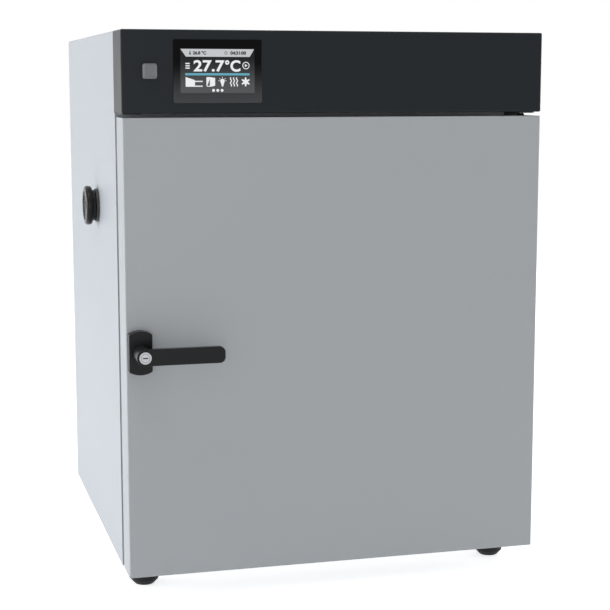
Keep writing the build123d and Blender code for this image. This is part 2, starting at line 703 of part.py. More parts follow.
def make_power_supply():
    """Enclosed power supply with vent slots, standing on the service deck."""
    width = (SUPPLY_OFFSET - SUPPLY_WIDTH / 2, SUPPLY_OFFSET + SUPPLY_WIDTH / 2)
    depth = (SUPPLY_Y - SUPPLY_DEPTH, SUPPLY_Y)
    height = (DECK_TOP_Z, DECK_TOP_Z + SUPPLY_HEIGHT)
    supply = block(width, depth, height)
    pitch = 3 * SUPPLY_VENT
    count = int((SUPPLY_WIDTH - 4 * pitch) / pitch)
    vent_depth = (depth[0] + pitch, depth[1] - pitch)
    vent_height = (height[1] - SUPPLY_WALL, height[1])
    for index in range(count):
        x = SUPPLY_OFFSET + (index - (count - 1) / 2) * pitch
        width = (x - SUPPLY_VENT / 2, x + SUPPLY_VENT / 2)
        supply -= block(width, vent_depth, vent_height)
    return supply


def inlet_outline(margin):
    """Outline of the inlet's socket body: a rectangle with two cut corners."""
    outline = Rectangle(INLET_WIDTH + 2 * margin, INLET_HEIGHT + 2 * margin)
    return chamfer(outline.vertices().group_by(Axis.Y)[-1], INLET_CHAMFER)


def make_mains_inlet():
    """Three-pin appliance inlet, let into the rear cover."""
    place = Pos(INLET_X, PANEL_MID_Z)
    flange = place * RectangleRounded(INLET_FLANGE_WIDTH, INLET_FLANGE_HEIGHT, INLET_CHAMFER)
    back = REAR + INLET_FLANGE
    inlet = front_plate(flange, REAR, back)
    inlet += front_plate(place * inlet_outline(0), REAR - INLET_DEPTH, back)
    cavity_front = REAR - INLET_DEPTH + INLET_WALL
    inlet -= front_plate(place * inlet_outline(-INLET_WALL), cavity_front, back)
    for x, z in ((-PIN_PITCH, -2), (0, 2), (PIN_PITCH, -2)):
        pin = place * Pos(x, z) * Rectangle(PIN_THICKNESS, PIN_WIDTH)
        inlet += front_plate(pin, cavity_front, cavity_front + PIN_LENGTH)
    return inlet


# Hinges


def hinge_plate_outline():
    """Flat of a hinge plate in plan, rounded about the pin."""
    left = HINGE_X - HINGE_PLATE_MARGIN
    front = HINGE_Y - HINGE_PLATE_MARGIN
    width = INNER_HALF - left
    depth = FRAME_FRONT - front
    flat = Pos(left + width / 2, front + depth / 2) * Rectangle(width, depth)
    return fillet(flat.vertices().group_by(Axis.Y)[0], HINGE_PLATE_MARGIN - CLEARANCE)


def hinge_leg(z_low, z_high):
    """Leg of a hinge plate, flat against the front frame."""
    width = (HINGE_X - HINGE_PLATE_MARGIN, INNER_HALF)
    return block(width, (FRAME_FRONT - HINGE_PLATE, FRAME_FRONT), (z_low, z_high))


def make_hinge_plate_upper():
    """Angled hinge plate under the control housing."""
    low = PANEL_Z - HINGE_PLATE
    plate = Pos(0, 0, low) * extrude(hinge_plate_outline(), HINGE_PLATE)
    plate += hinge_leg(GASKET_TOP_Z + HINGE_LEG_MARGIN, PANEL_Z)
    return plate - bar("Z", HINGE_PIN_RADIUS, low, PANEL_Z, HINGE_X, HINGE_Y)


def make_hinge_plate_lower():
    """Angled hinge plate below the door."""
    low = BASE_Z - HINGE_PLATE
    plate = Pos(0, 0, low) * extrude(hinge_plate_outline(), HINGE_PLATE)
    plate += hinge_leg(low, GASKET_BOTTOM_Z - HINGE_LEG_MARGIN)
    return plate - bar("Z", HINGE_PIN_RADIUS, low, BASE_Z, HINGE_X, HINGE_Y)


def make_hinge_blanking_plate():
    """Plate in the left hinge place, which lets the door be hung on either side."""
    plate = mirror(extrude(hinge_plate_outline(), HINGE_PLATE), Plane.YZ)
    return Pos(0, 0, PANEL_Z - HINGE_PLATE) * plate


def make_hinge_pins():
    """Upper and lower hinge pins, pressed into their plates."""
    top_low = DOOR_TOP_Z - HINGE_PIN_ENGAGEMENT
    base_high = DOOR_BOTTOM_Z + HINGE_PIN_ENGAGEMENT
    upper = bar("Z", HINGE_PIN_RADIUS, top_low, PANEL_Z, HINGE_X, HINGE_Y)
    lower = bar("Z", HINGE_PIN_RADIUS, BASE_Z - HINGE_PLATE, base_high, HINGE_X, HINGE_Y)
    return Compound(children=[upper, lower])


def make_hinge_bushes():
    """Plastic bushes in the door: the upper has a coned collar, the lower is plain."""
    bore = HINGE_PIN_RADIUS + RUNNING_FIT
    depth = HINGE_PIN_ENGAGEMENT + 1
    collar = HEAD_GAP - HINGE_PLATE - CLEARANCE
    upper = turned(
        [
            (bore, -depth),
            (BUSH_RADIUS, -depth),
            (BUSH_RADIUS, 0),
            (BUSH_COLLAR_RADIUS, 0),
            (BUSH_COLLAR_TOP_RADIUS, collar),
            (bore, collar),
        ]
    )
    lower = turned(
        [
            (bore, CLEARANCE - DOOR_RISE),
            (BUSH_RADIUS, CLEARANCE - DOOR_RISE),
            (BUSH_RADIUS, depth),
            (bore, depth),
        ]
    )
    upper = Pos(HINGE_X, HINGE_Y, DOOR_TOP_Z) * upper
    lower = Pos(HINGE_X, HINGE_Y, DOOR_BOTTOM_Z) * lower
    return Compound(children=[upper, lower])


# Door


def make_door_skin():
    """Outer door pan of folded sheet with returns at its back."""
    width = (-DOOR_HALF, DOOR_HALF)
    height = (DOOR_BOTTOM_Z, DOOR_TOP_Z)
    pan = block(width, (DOOR_FRONT, DOOR_BACK), height)
    pan = fillet(pan.faces().sort_by(Axis.Y)[0].edges(), DOOR_EDGE_RADIUS)
    pan -= door_space(SHEET, DOOR_FRONT + SHEET, DOOR_LINER_BACK)
    pan -= door_space(SHEET + DOOR_FOLD, DOOR_LINER_BACK, DOOR_BACK)
    pan -= bar(
        "Y", SLEEVE_RADIUS + RUNNING_FIT, DOOR_FRONT, DOOR_FRONT + SHEET, HANDLE_X, HANDLE_Z
    )
    return pan - bush_bore(DOOR_TOP_Z - SHEET, DOOR_TOP_Z) - bush_bore(
        DOOR_BOTTOM_Z, DOOR_BOTTOM_Z + SHEET
    )


def door_space(inset, y_front, y_back):
    """Block inside the door outline, inset on all four sides."""
    width = (-DOOR_HALF + inset, DOOR_HALF - inset)
    height = (DOOR_BOTTOM_Z + inset, DOOR_TOP_Z - inset)
    return block(width, (y_front, y_back), height)


def bush_bore(z_low, z_high):
    """Hole for a hinge bush between two heights."""
    return bar("Z", BUSH_RADIUS + RUNNING_FIT, z_low, z_high, HINGE_X, HINGE_Y)


def plug_outline(inset):
    """Outline of the raised field of the door liner inside the gasket."""
    gap = GASKET_WIDTH + DOOR_PLUG_GAP + inset
    radius = CHAMBER_CORNER_RADIUS
    return window(GASKET_HALF - gap, GASKET_BOTTOM_Z + gap, GASKET_TOP_Z - gap, radius)


def raised_field(inset, rise):
    """Solid raised towards the chamber, with sloping sides."""
    field = Plane.XZ.offset(-DOOR_LINER_BACK) * plug_outline(inset)
    return extrude(field, -rise, taper=DOOR_PLUG_TAPER)


def make_door_liner():
    """Inner door sheet with a raised field that enters the seal's frame."""
    liner = door_space(SHEET, DOOR_LINER_FRONT, DOOR_LINER_BACK)
    liner += raised_field(0, DOOR_PLUG_DEPTH)
    liner -= raised_field(LINER_SHEET, DOOR_PLUG_DEPTH - LINER_SHEET)
    hollow = plug_outline(LINER_SHEET)
    liner -= front_plate(hollow, DOOR_LINER_FRONT, DOOR_LINER_BACK)
    hole = SLEEVE_RADIUS + RUNNING_FIT
    return liner - bar("Y", hole, DOOR_LINER_FRONT, DOOR_LINER_BACK, HANDLE_X, HANDLE_Z)


def make_door_insulation():
    """Slab of insulation between the door skin and the door liner."""
    front = DOOR_FRONT + SHEET
    slab = door_space(SHEET, front, DOOR_LINER_FRONT)
    hole = SLEEVE_RADIUS + RUNNING_FIT
    slab -= bar("Y", hole, front, DOOR_LINER_FRONT, HANDLE_X, HANDLE_Z)
    depth = HINGE_PIN_ENGAGEMENT + 2
    slab -= bush_bore(DOOR_TOP_Z - depth, DOOR_TOP_Z - SHEET)
    return slab - bush_bore(DOOR_BOTTOM_Z + SHEET, DOOR_BOTTOM_Z + depth)


def gasket_ring(outer_inset, inner_inset, y_front, y_back):
    """Rectangular ring of the door seal between two insets from its outer edge."""
    rings = []
    for inset in (outer_inset, inner_inset):
        low = GASKET_BOTTOM_Z + inset
        high = GASKET_TOP_Z - inset
        rings.append(window(GASKET_HALF - inset, low, high, GASKET_CORNER_RADIUS - inset / 4))
    return front_plate(rings[0] - rings[1], y_front, y_back)


def make_door_gasket():
    """Soft door seal: a flat base and a narrower bulb that meets the front frame."""
    base_back = DOOR_LINER_BACK + GASKET_BASE
    bulb_back = FRAME_FRONT - CLEARANCE
    base = gasket_ring(0, GASKET_WIDTH, DOOR_LINER_BACK, base_back)
    inner_inset = GASKET_WIDTH - GASKET_SHOULDER
    bulb = gasket_ring(GASKET_SHOULDER, inner_inset, base_back, bulb_back)
    bulb = chamfer(bulb.faces().sort_by(Axis.Y)[-1].edges(), GASKET_SHOULDER / 2)
    return base + bulb


# Handle, lock and latch


def make_handle_escutcheon():
    """Dark shield under the handle: a disc cut by two upright flats."""
    outline = Circle(ESCUTCHEON_RADIUS) & Rectangle(ESCUTCHEON_WIDTH, 2 * ESCUTCHEON_RADIUS)
    outline = Pos(HANDLE_X, HANDLE_Z) * outline
    shield = front_plate(outline, ESCUTCHEON_FRONT, DOOR_FRONT)
    front = shield.faces().sort_by(Axis.Y)[0]
    shield = chamfer(front.edges(), ESCUTCHEON_EDGE)
    hole = SLEEVE_RADIUS + RUNNING_FIT
    return shield - bar("Y", hole, ESCUTCHEON_FRONT, DOOR_FRONT, HANDLE_X, HANDLE_Z)


def make_spindle_sleeve():
    """Bearing sleeve through the door, flanged on the inner side."""
    length = DOOR_LINER_BACK - ESCUTCHEON_FRONT
    bore = SPINDLE_RADIUS + RUNNING_FIT
    sleeve = turned(
        [
            (bore, -SLEEVE_FLANGE),
            (SLEEVE_FLANGE_RADIUS, -SLEEVE_FLANGE),
            (SLEEVE_FLANGE_RADIUS, 0),
            (SLEEVE_RADIUS, 0),
            (SLEEVE_RADIUS, length),
            (bore, length),
        ]
    )
    return Pos(HANDLE_X, DOOR_LINER_BACK, HANDLE_Z) * Rot(90, 0, 0) * sleeve


def make_handle_lever():
    """Lever handle: a round hub and a flat bar with rounded end corners."""
    bar_outline = Pos(LEVER_LENGTH / 2, 0) * Rectangle(LEVER_LENGTH, 2 * HUB_RADIUS)
    bar_outline = fillet(bar_outline.vertices().group_by(Axis.X)[-1], LEVER_END_RADIUS)
    outline = Pos(HANDLE_X, HANDLE_Z) * (bar_outline + Circle(HUB_RADIUS))
    lever = front_plate(outline, LEVER_FRONT, LEVER_BACK)
    lever = chamfer(lever.faces().sort_by(Axis.Y)[0].edges(), LEVER_EDGE)
    hub_front = LEVER_BACK - LEVER_THICKNESS / 2
    lever += bar("Y", HUB_RADIUS, hub_front, HUB_BACK, HANDLE_X, HANDLE_Z)
    bore = LOCK_RADIUS + RUNNING_FIT
    lever -= bar("Y", bore, LEVER_FRONT, LEVER_FRONT + LOCK_DEPTH, HANDLE_X, HANDLE_Z)
    tenon = Pos(HANDLE_X, HANDLE_Z) * Rectangle(SPINDLE_SQUARE, SPINDLE_SQUARE)
    return lever - front_plate(tenon, HUB_BACK - SPINDLE_TENON, HUB_BACK)


def make_handle_spindle():
    """Round spindle with a square at each end for the lever and the cam."""
    spindle = bar("Y", SPINDLE_RADIUS, HUB_BACK, CAM_FRONT, HANDLE_X, HANDLE_Z)
    square = Pos(HANDLE_X, HANDLE_Z) * Rectangle(SPINDLE_SQUARE, SPINDLE_SQUARE)
    spindle += front_plate(square, HUB_BACK - SPINDLE_TENON, HUB_BACK)
    return spindle + front_plate(square, CAM_FRONT, CAM_BACK)


def make_latch_cam():
    """Flat steel cam on the inner end of the spindle, with its nose upright."""
    nose = Pos(0, CAM_NOSE / 2) * Rectangle(CAM_NOSE_WIDTH, CAM_NOSE)
    nose = fillet(nose.vertices().group_by(Axis.Y)[-1], CAM_NOSE_WIDTH / 4)
    outline = nose + Circle(CAM_RADIUS) - Rectangle(SPINDLE_SQUARE, SPINDLE_SQUARE)
    return front_plate(Pos(HANDLE_X, HANDLE_Z) * outline, CAM_FRONT, CAM_BACK)


def make_cam_screw():
    """Hexagon-head screw that holds the cam on the spindle."""
    head = Pos(HANDLE_X, HANDLE_Z) * RegularPolygon(SPINDLE_RADIUS, 6)
    return front_plate(head, CAM_BACK, CAM_BACK + KEEPER_STRIP)


def make_lock_barrel():
    """Key barrel in the hub of the lever, with its keyway level."""
    front = LEVER_FRONT - LOCK_PROUD
    back = LEVER_FRONT + LOCK_DEPTH - CLEARANCE
    barrel = bar("Y", LOCK_RADIUS, front, back, HANDLE_X, HANDLE_Z)
    keyway = Pos(HANDLE_X, HANDLE_Z) * Rectangle(KEYWAY_LENGTH, KEYWAY_WIDTH)
    return barrel - front_plate(keyway, front, front + KEYWAY_DEPTH)


def make_latch_keeper():
    """Bent strip on the front frame whose lip holds the cam's nose."""
    lip_front = KEEPER_LIP_BACK - KEEPER_STRIP
    web_low = KEEPER_LIP_Z + KEEPER_LIP
    web_high = web_low + KEEPER_STRIP
    foot_high = web_high + KEEPER_FOOT
    half = KEEPER_WIDTH / 2
    width = (HANDLE_X - half, HANDLE_X + half)
    strip = block(width, (lip_front, KEEPER_LIP_BACK), (KEEPER_LIP_Z, web_high))
    strip += block(width, (lip_front, FRAME_FRONT), (web_low, web_high))
    foot_front = FRAME_FRONT - KEEPER_STRIP
    return strip + block(width, (foot_front, FRAME_FRONT), (web_low, foot_high))


# Access port


def make_port_tube():
    """Plastic tube through the left wall with a flange inside the chamber."""
    length = CASE_HALF - CHAMBER_HALF + PORT_FLANGE - RUNNING_FIT
    tube = turned(
        [
            (PORT_BORE_RADIUS, -PORT_INNER_FLANGE),
            (PORT_FLANGE_RADIUS, -PORT_INNER_FLANGE),
            (PORT_FLANGE_RADIUS, 0),
            (PORT_TUBE_RADIUS, 0),
            (PORT_TUBE_RADIUS, length),
            (PORT_BORE_RADIUS, length),
        ]
    )
    return Pos(-CHAMBER_HALF, PORT_Y, PORT_Z) * Rot(0, -90, 0) * tube


def make_port_flange():
    """Outer ring of the access port."""
    bore = PORT_TUBE_RADIUS + RUNNING_FIT
    ring = turned(
        [
            (bore, 0),
            (PORT_FLANGE_RADIUS, 0),
            (PORT_FLANGE_RADIUS, PORT_FLANGE),
            (bore, PORT_FLANGE),
        ]
    )
    return Pos(-CASE_HALF, PORT_Y, PORT_Z) * Rot(0, -90, 0) * ring


def make_port_plug():
    """Rubber plug of the access port: stem, collar and dished round head."""
    stem = PORT_BORE_RADIUS - PLUG_FIT
    head = PLUG_COLLAR + PLUG_HEAD
    plug = turned(
        [
            (0, -PLUG_LENGTH),
            (stem, -PLUG_LENGTH),
            (stem, 0),
            (PLUG_COLLAR_RADIUS, 0),
            (PLUG_COLLAR_RADIUS, PLUG_COLLAR),
            (PLUG_HEAD_RADIUS - PLUG_RIM, PLUG_COLLAR),
            (PLUG_HEAD_RADIUS, PLUG_COLLAR + PLUG_RIM),
            (PLUG_HEAD_RADIUS, head - PLUG_RIM),
            (PLUG_HEAD_RADIUS - PLUG_RIM, head),
            (PLUG_DISH_RADIUS, head),
            (PLUG_DISH_RADIUS - PLUG_DISH_DEPTH, head - PLUG_DISH_DEPTH),
            (0, head - PLUG_DISH_DEPTH),
        ]
    )
    place = Pos(-CASE_HALF - PORT_FLANGE - CLEARANCE, PORT_Y, PORT_Z)
    return place * Rot(0, -90, 0) * plug


# Air circulation and heating


def make_air_baffle():
    """Sheet in front of the plenum with an intake grille, outlet slots and side folds."""
    half = CHAMBER_HALF - BAFFLE_SIDE_GAP
    low = FLOOR_Z + BAFFLE_END_GAP
    high = CEILING_Z - BAFFLE_END_GAP
    face = oblong(half, low, high)
    face -= Pos(0, FAN_Z) * slot_disc(INTAKE_RADIUS, INTAKE_SLOT, INTAKE_PITCH)
    rows = int((high - low) / BAFFLE_SLOT_PITCH)
    outlet_x = half - BAFFLE_SLOT_INSET
    for row in range(rows):
        z = (low + high) / 2 + (row - (rows - 1) / 2) * BAFFLE_SLOT_PITCH
        for x in (-outlet_x, outlet_x):
            face -= Pos(x, z) * Rectangle(BAFFLE_SLOT_LENGTH, BAFFLE_SLOT_HEIGHT)
    face -= Pos(PROBE_OFFSET, PROBE_Z) * Circle(PROBE_RADIUS + 2 * PLUG_FIT)
    baffle = front_plate(face, BAFFLE_FRONT, BAFFLE_BACK)
    depth = (BAFFLE_BACK, CHAMBER_REAR)
    baffle += block((half - LINER_SHEET, half), depth, (low, high))
    return baffle + block((-half, LINER_SHEET - half), depth, (low, high))


def make_circulation_heater():
    """Tubular heater bent round the impeller, with two legs through the rear wall."""
    end_y = BULKHEAD_BACK + HEATER_END
    low_z = FAN_Z - HEATER_REACH
    path = Polyline(
        (-HEATER_REACH, end_y, HEATER_TOP_Z),
        (-HEATER_REACH, HEATER_Y, HEATER_TOP_Z),
        (-HEATER_REACH, HEATER_Y, low_z),
        (HEATER_REACH, HEATER_Y, low_z),
        (HEATER_REACH, HEATER_Y, HEATER_TOP_Z),
        (HEATER_REACH, end_y, HEATER_TOP_Z),
    )
    section = Plane(origin=path @ 0, z_dir=path % 0) * Circle(HEATER_RADIUS)
    heater = sweep(section, path=path, transition=Transition.RIGHT)
    half = HEATER_FLANGE_SIDE / 2
    depth = (CHAMBER_REAR - HEATER_FLANGE, CHAMBER_REAR)
    height = (HEATER_TOP_Z - half, HEATER_TOP_Z + half)
    for x in (-HEATER_REACH, HEATER_REACH):
        heater += block((x - half, x + half), depth, height)
    return heater


def make_fan_motor():
    """Circulation fan motor on its plate behind the bulkhead."""
    half = MOTOR_PLATE_SIDE / 2
    plate_back = BULKHEAD_BACK + MOTOR_PLATE
    plate = block((-half, half), (BULKHEAD_BACK, plate_back), (FAN_Z - half, FAN_Z + half))
    motor = plate + bar("Y", MOTOR_RADIUS, plate_back, plate_back + MOTOR_LENGTH, 0, FAN_Z)
    bore = SHAFT_RADIUS + RUNNING_FIT
    return motor - bar("Y", bore, BULKHEAD_BACK, plate_back + SHAFT_INSERTION, 0, FAN_Z)


def make_shaft_bush():
    """Sealing bush that carries the fan shaft through the rear wall."""
    length = BULKHEAD_BACK - CHAMBER_REAR
    bore = SHAFT_RADIUS + RUNNING_FIT
    bush = turned(
        [
            (bore, 0),
            (SHAFT_BUSH_RADIUS, 0),
            (SHAFT_BUSH_RADIUS, length),
            (bore, length),
        ]
    )
    return Pos(0, BULKHEAD_BACK, FAN_Z) * Rot(90, 0, 0) * bush


def make_fan_shaft():
    """Shaft from the motor to the impeller."""
    front = CHAMBER_REAR - IMPELLER_GAP - IMPELLER_HUB_LENGTH
    back = BULKHEAD_BACK + MOTOR_PLATE + SHAFT_INSERTION - CLEARANCE
    return bar("Y", SHAFT_RADIUS, front, back, 0, FAN_Z)


def impeller_blade(depth):
    """One backward-leaning blade of the impeller, standing on the back plate."""
    sweep_angle = radians(BLADE_SWEEP)
    outer = IMPELLER_RADIUS - BLADE_THICKNESS
    run_x = outer * cos(sweep_angle) - IMPELLER_EYE_RADIUS
    run_y = outer * sin(sweep_angle)
    length = (run_x**2 + run_y**2) ** 0.5
    lean = degrees(atan2(run_y, run_x))
    blade = Pos(length / 2, 0) * Rectangle(length, BLADE_THICKNESS)
    return extrude(Pos(IMPELLER_EYE_RADIUS, 0) * Rot(0, 0, lean) * blade, depth)


def make_fan_impeller():
    """Centrifugal impeller: back plate, hub, swept blades and a shroud ring."""
    blade_depth = IMPELLER_DEPTH - 2 * IMPELLER_PLATE
    plate = Cylinder(IMPELLER_RADIUS, IMPELLER_PLATE, align=(Align.CENTER, Align.CENTER, Align.MIN))
    hub = Cylinder(
        IMPELLER_HUB_RADIUS, IMPELLER_HUB_LENGTH, align=(Align.CENTER, Align.CENTER, Align.MIN)
    )
    wheel = plate + hub
    for index in range(BLADE_COUNT):
        blade = impeller_blade(blade_depth)
        wheel += Pos(0, 0, IMPELLER_PLATE) * Rot(0, 0, index * 360 / BLADE_COUNT) * blade
    shroud = extrude(Circle(IMPELLER_RADIUS) - Circle(IMPELLER_EYE_RADIUS), IMPELLER_PLATE)
    wheel += Pos(0, 0, IMPELLER_DEPTH - IMPELLER_PLATE) * shroud
    wheel -= Cylinder(SHAFT_RADIUS, 3 * IMPELLER_DEPTH)
    return Pos(0, CHAMBER_REAR - IMPELLER_GAP, FAN_Z) * Rot(90, 0, 0) * wheel


# Thermoelectric cooler


def fin_comb(width, height, base_front, base_back, fin_tip):
    """Extruded heat sink: a base plate with upright fins on one side."""
    low = COOLER_Z - height / 2
    profile = Pos(0, (base_front + base_back) / 2) * Rectangle(width, base_back - base_front)
    count = int(width / FIN_PITCH)
    root = base_front if fin_tip < base_front else base_back
    for index in range(count):
        x = (index - (count - 1) / 2) * (width - FIN_THICKNESS) / (count - 1)
        fin = Rectangle(FIN_THICKNESS, abs(fin_tip - root))
        profile += Pos(x, (fin_tip + root) / 2) * fin
    return Pos(0, 0, low) * extrude(profile, height)


def make_cold_sink():
    """Finned sink in the plenum that takes heat from the chamber air."""
    base_front = CHAMBER_REAR - SINK_BASE
    tip = base_front - COLD_FIN_LENGTH
    return fin_comb(COLD_SINK_WIDTH, COLD_SINK_HEIGHT, base_front, CHAMBER_REAR, tip)


def make_hot_sink():
    """Finned sink in the service space that gives the heat to the cooling fan."""
    base_back = BULKHEAD_BACK + SINK_BASE
    tip = COVER_FRONT - COOLING_FAN_DEPTH
    return fin_comb(HOT_SINK_WIDTH, HOT_SINK_HEIGHT, BULKHEAD_BACK, base_back, tip)


def make_conduction_block():
    """Aluminium block that joins the cold sink to the modules through the wall."""
    half = BLOCK_SIDE / 2
    depth = (CHAMBER_REAR, BULKHEAD_BACK - MODULE_THICKNESS)
    return block((-half, half), depth, (COOLER_Z - half, COOLER_Z + half))


def make_thermoelectric_modules():
    """Four square modules between the conduction block and the hot sink."""
    depth = (BULKHEAD_BACK - MODULE_THICKNESS, BULKHEAD_BACK)
    offset = BLOCK_SIDE / 4
    half = MODULE_SIDE / 2
    modules = []
    for x in (-offset, offset):
        for z in (COOLER_Z - offset, COOLER_Z + offset):
            modules.append(block((x - half, x + half), depth, (z - half, z + half)))
    return Compound(children=modules)


def make_cooling_fan_frame():
    """Square frame of the cooling fan with a spider that carries the rotor."""
    depth = COOLING_FAN_DEPTH
    frame = extrude(
        Rectangle(COOLING_FAN_SIDE, COOLING_FAN_SIDE) - Circle(COOLING_FAN_BORE), depth
    )
    spider = Circle(COOLING_HUB_RADIUS)
    strut = Rectangle(2 * COOLING_FAN_BORE + COOLING_STRUT_WIDTH / 2, COOLING_STRUT_WIDTH)
    spider += Rot(0, 0, 45) * strut
    spider += Rot(0, 0, -45) * strut
    frame += extrude(spider, COOLING_SPIDER)
    stub = depth - COOLING_HUB_DEPTH / 2
    frame += Pos(0, 0, stub / 2) * Cylinder(COOLING_STUB_RADIUS, stub)
    return Pos(0, COVER_FRONT, COOLER_Z) * Rot(90, 0, 0) * frame


def cooling_blade():
    """One pitched flat blade of the cooling fan, from inside the hub to its tip."""
    tip = COOLING_FAN_BORE - COOLING_TIP_GAP
    root = COOLING_HUB_RADIUS - COOLING_BLADE_THICKNESS
    blade = Box(tip - root, COOLING_BLADE_CHORD, COOLING_BLADE_THICKNESS)
    blade = Pos((tip + root) / 2, 0, COOLING_HUB_DEPTH / 2) * Rot(COOLING_BLADE_PITCH, 0, 0) * blade
    return blade


def make_cooling_fan_rotor():
    """Rotor of the cooling fan: a hub cup with twisted blades."""
    front = COOLING_SPIDER + 2
    hub = Cylinder(
        COOLING_HUB_RADIUS, COOLING_HUB_DEPTH, align=(Align.CENTER, Align.CENTER, Align.MIN)
    )
    rotor = hub
    for index in range(COOLING_BLADE_COUNT):
        rotor += Rot(0, 0, index * 360 / COOLING_BLADE_COUNT) * cooling_blade()
    bore_length = COOLING_FAN_DEPTH - COOLING_HUB_DEPTH / 2 - front + CLEARANCE
    bore = Cylinder(
        COOLING_STUB_RADIUS + RUNNING_FIT,
        bore_length,
        align=(Align.CENTER, Align.CENTER, Align.MIN),
    )
    rotor -= bore
    return Pos(0, COVER_FRONT - front, COOLER_Z) * Rot(90, 0, 0) * rotor


# Racks and shelves


def rack_slot_heights():
    """Heights of the slots in the rack uprights."""
    room = CHAMBER_HEIGHT - 2 * UPRIGHT_END_GAP - 2 * RACK_START
    count = int(room / RACK_PITCH) + 1
    return [FLOOR_Z + UPRIGHT_END_GAP + RACK_START + n * RACK_PITCH for n in range(count)]


def rack_upright(side, y):
    """Slotted channel on a side wall of the chamber."""
    low = FLOOR_Z + UPRIGHT_END_GAP
    high = CEILING_Z - UPRIGHT_END_GAP
    half = UPRIGHT_WIDTH / 2
    channel = block((UPRIGHT_X, CHAMBER_HALF), (y - half, y + half), (low, high))
    inner_half = half - LINER_SHEET
    channel -= block(
        (UPRIGHT_X + LINER_SHEET, CHAMBER_HALF), (y - inner_half, y + inner_half), (low, high)
    )
    slot = RACK_SLOT_LENGTH / 2
    for z in rack_slot_heights():
        height = (z - RACK_SLOT_HEIGHT / 2, z + RACK_SLOT_HEIGHT / 2)
        channel -= block((UPRIGHT_X, UPRIGHT_X + LINER_SHEET), (y - slot, y + slot), height)
    return channel if side > 0 else mirror(channel, Plane.YZ)


def make_rack_uprights():
    """Four slotted uprights, two on each side wall."""
    return Compound(children=[rack_upright(side, y) for side in (-1, 1) for y in UPRIGHT_YS])


def shelf_ledge_z(slot):
    """Height of a runner's ledge when it hangs in the given slot."""
    return rack_slot_heights()[slot] + RUNNER_TAB_HEIGHT / 2 - RUNNER_HEIGHT


def shelf_runner(side, slot):
    """Angle runner with two tabs that hang in the slots of the uprights."""
    slot_z = rack_slot_heights()[slot]
    top = slot_z + RUNNER_TAB_HEIGHT / 2
    low = shelf_ledge_z(slot)
    depth = (RUNNER_FRONT, RUNNER_BACK)
    web_x = UPRIGHT_X - RUNNER_SHEET
    runner = block((web_x, UPRIGHT_X), depth, (low - RUNNER_SHEET, top))
    runner += block((web_x - RUNNER_LEDGE, web_x), depth, (low - RUNNER_SHEET, low))
    for y in UPRIGHT_YS:
        tab = (y - RUNNER_TAB / 2, y + RUNNER_TAB / 2)
        reach = (UPRIGHT_X, CHAMBER_HALF - LINER_SHEET)
        runner += block(reach, tab, (top - RUNNER_TAB_HEIGHT, top))
    return runner if side > 0 else mirror(runner, Plane.YZ)


def make_shelf_runners():
    """Four runners: a pair for each shelf."""
    slots = (LOWER_SHELF_SLOT_COUNT, UPPER_SHELF_SLOT_COUNT)
    return Compound(children=[shelf_runner(side, slot) for slot in slots for side in (-1, 1)])


def make_shelf(slot):
    """Slotted sheet shelf with its four edges folded down."""
    base_z = shelf_ledge_z(slot) + CLEARANCE
    top_z = base_z + SHELF_RIM
    under_z = top_z - SHELF_SHEET
    width = (-SHELF_HALF, SHELF_HALF)
    shelf = block(width, (SHELF_FRONT, SHELF_BACK), (base_z, top_z))
    inner = (-SHELF_HALF + SHELF_SHEET, SHELF_HALF - SHELF_SHEET)
    depth = (SHELF_FRONT + SHELF_SHEET, SHELF_BACK - SHELF_SHEET)
    shelf -= block(inner, depth, (base_z, under_z))
    column_pitch = 2 * (SHELF_HALF - SHELF_BORDER) / SHELF_SLOT_COLUMNS
    row_pitch = (SHELF_BACK - SHELF_FRONT - 2 * SHELF_BORDER) / SHELF_SLOT_ROWS
    middle_y = (SHELF_FRONT + SHELF_BACK) / 2
    reach = (column_pitch - SHELF_SLOT_BRIDGE) / 2
    for column in range(SHELF_SLOT_COLUMNS):
        x = (column - (SHELF_SLOT_COLUMNS - 1) / 2) * column_pitch
        for row in range(SHELF_SLOT_ROWS):
            y = middle_y + (row - (SHELF_SLOT_ROWS - 1) / 2) * row_pitch
            slot_y = (y - SHELF_SLOT_WIDTH / 2, y + SHELF_SLOT_WIDTH / 2)
            shelf -= block((x - reach, x + reach), slot_y, (under_z, top_z))
    return shelf


# Lamp and temperature probe


def lamp_body(margin):
    """Block of the lamp body above the ceiling line, grown by a margin."""
    half_x = LAMP_WIDTH / 2 - LAMP_BODY_MARGIN + margin
    half_y = LAMP_DEPTH / 2 - LAMP_BODY_MARGIN + margin
    height = (CEILING_Z, CEILING_Z + LAMP_BODY_HEIGHT + margin)
    return block((-half_x, half_x), (LAMP_Y - half_y, LAMP_Y + half_y), height)


def make_lamp_housing():
    """Lamp body let into the chamber ceiling."""
    return lamp_body(0)


def make_lamp_lens():
    """Frosted lamp cover below the chamber ceiling, with sloping edges."""
    half_x = LAMP_WIDTH / 2
    half_y = LAMP_DEPTH / 2
    depth = (LAMP_Y - half_y, LAMP_Y + half_y)
    lens = block((-half_x, half_x), depth, (CEILING_Z - LAMP_DROP, CEILING_Z))
    return chamfer(lens.faces().sort_by(Axis.Z)[0].edges(), LAMP_DROP / 2)


def make_temperature_probe():
    """Resistance probe with a flange on the rear wall, reaching through the baffle."""
    probe = turned(
        [
            (0, 0),
            (PROBE_FLANGE_RADIUS, 0),
            (PROBE_FLANGE_RADIUS, PROBE_FLANGE),
            (PROBE_RADIUS, PROBE_FLANGE),
            (PROBE_RADIUS, PROBE_REACH),
            (0, PROBE_REACH),
        ]
    )
    return Pos(PROBE_OFFSET, CHAMBER_REAR, PROBE_Z) * Rot(90, 0, 0) * probe


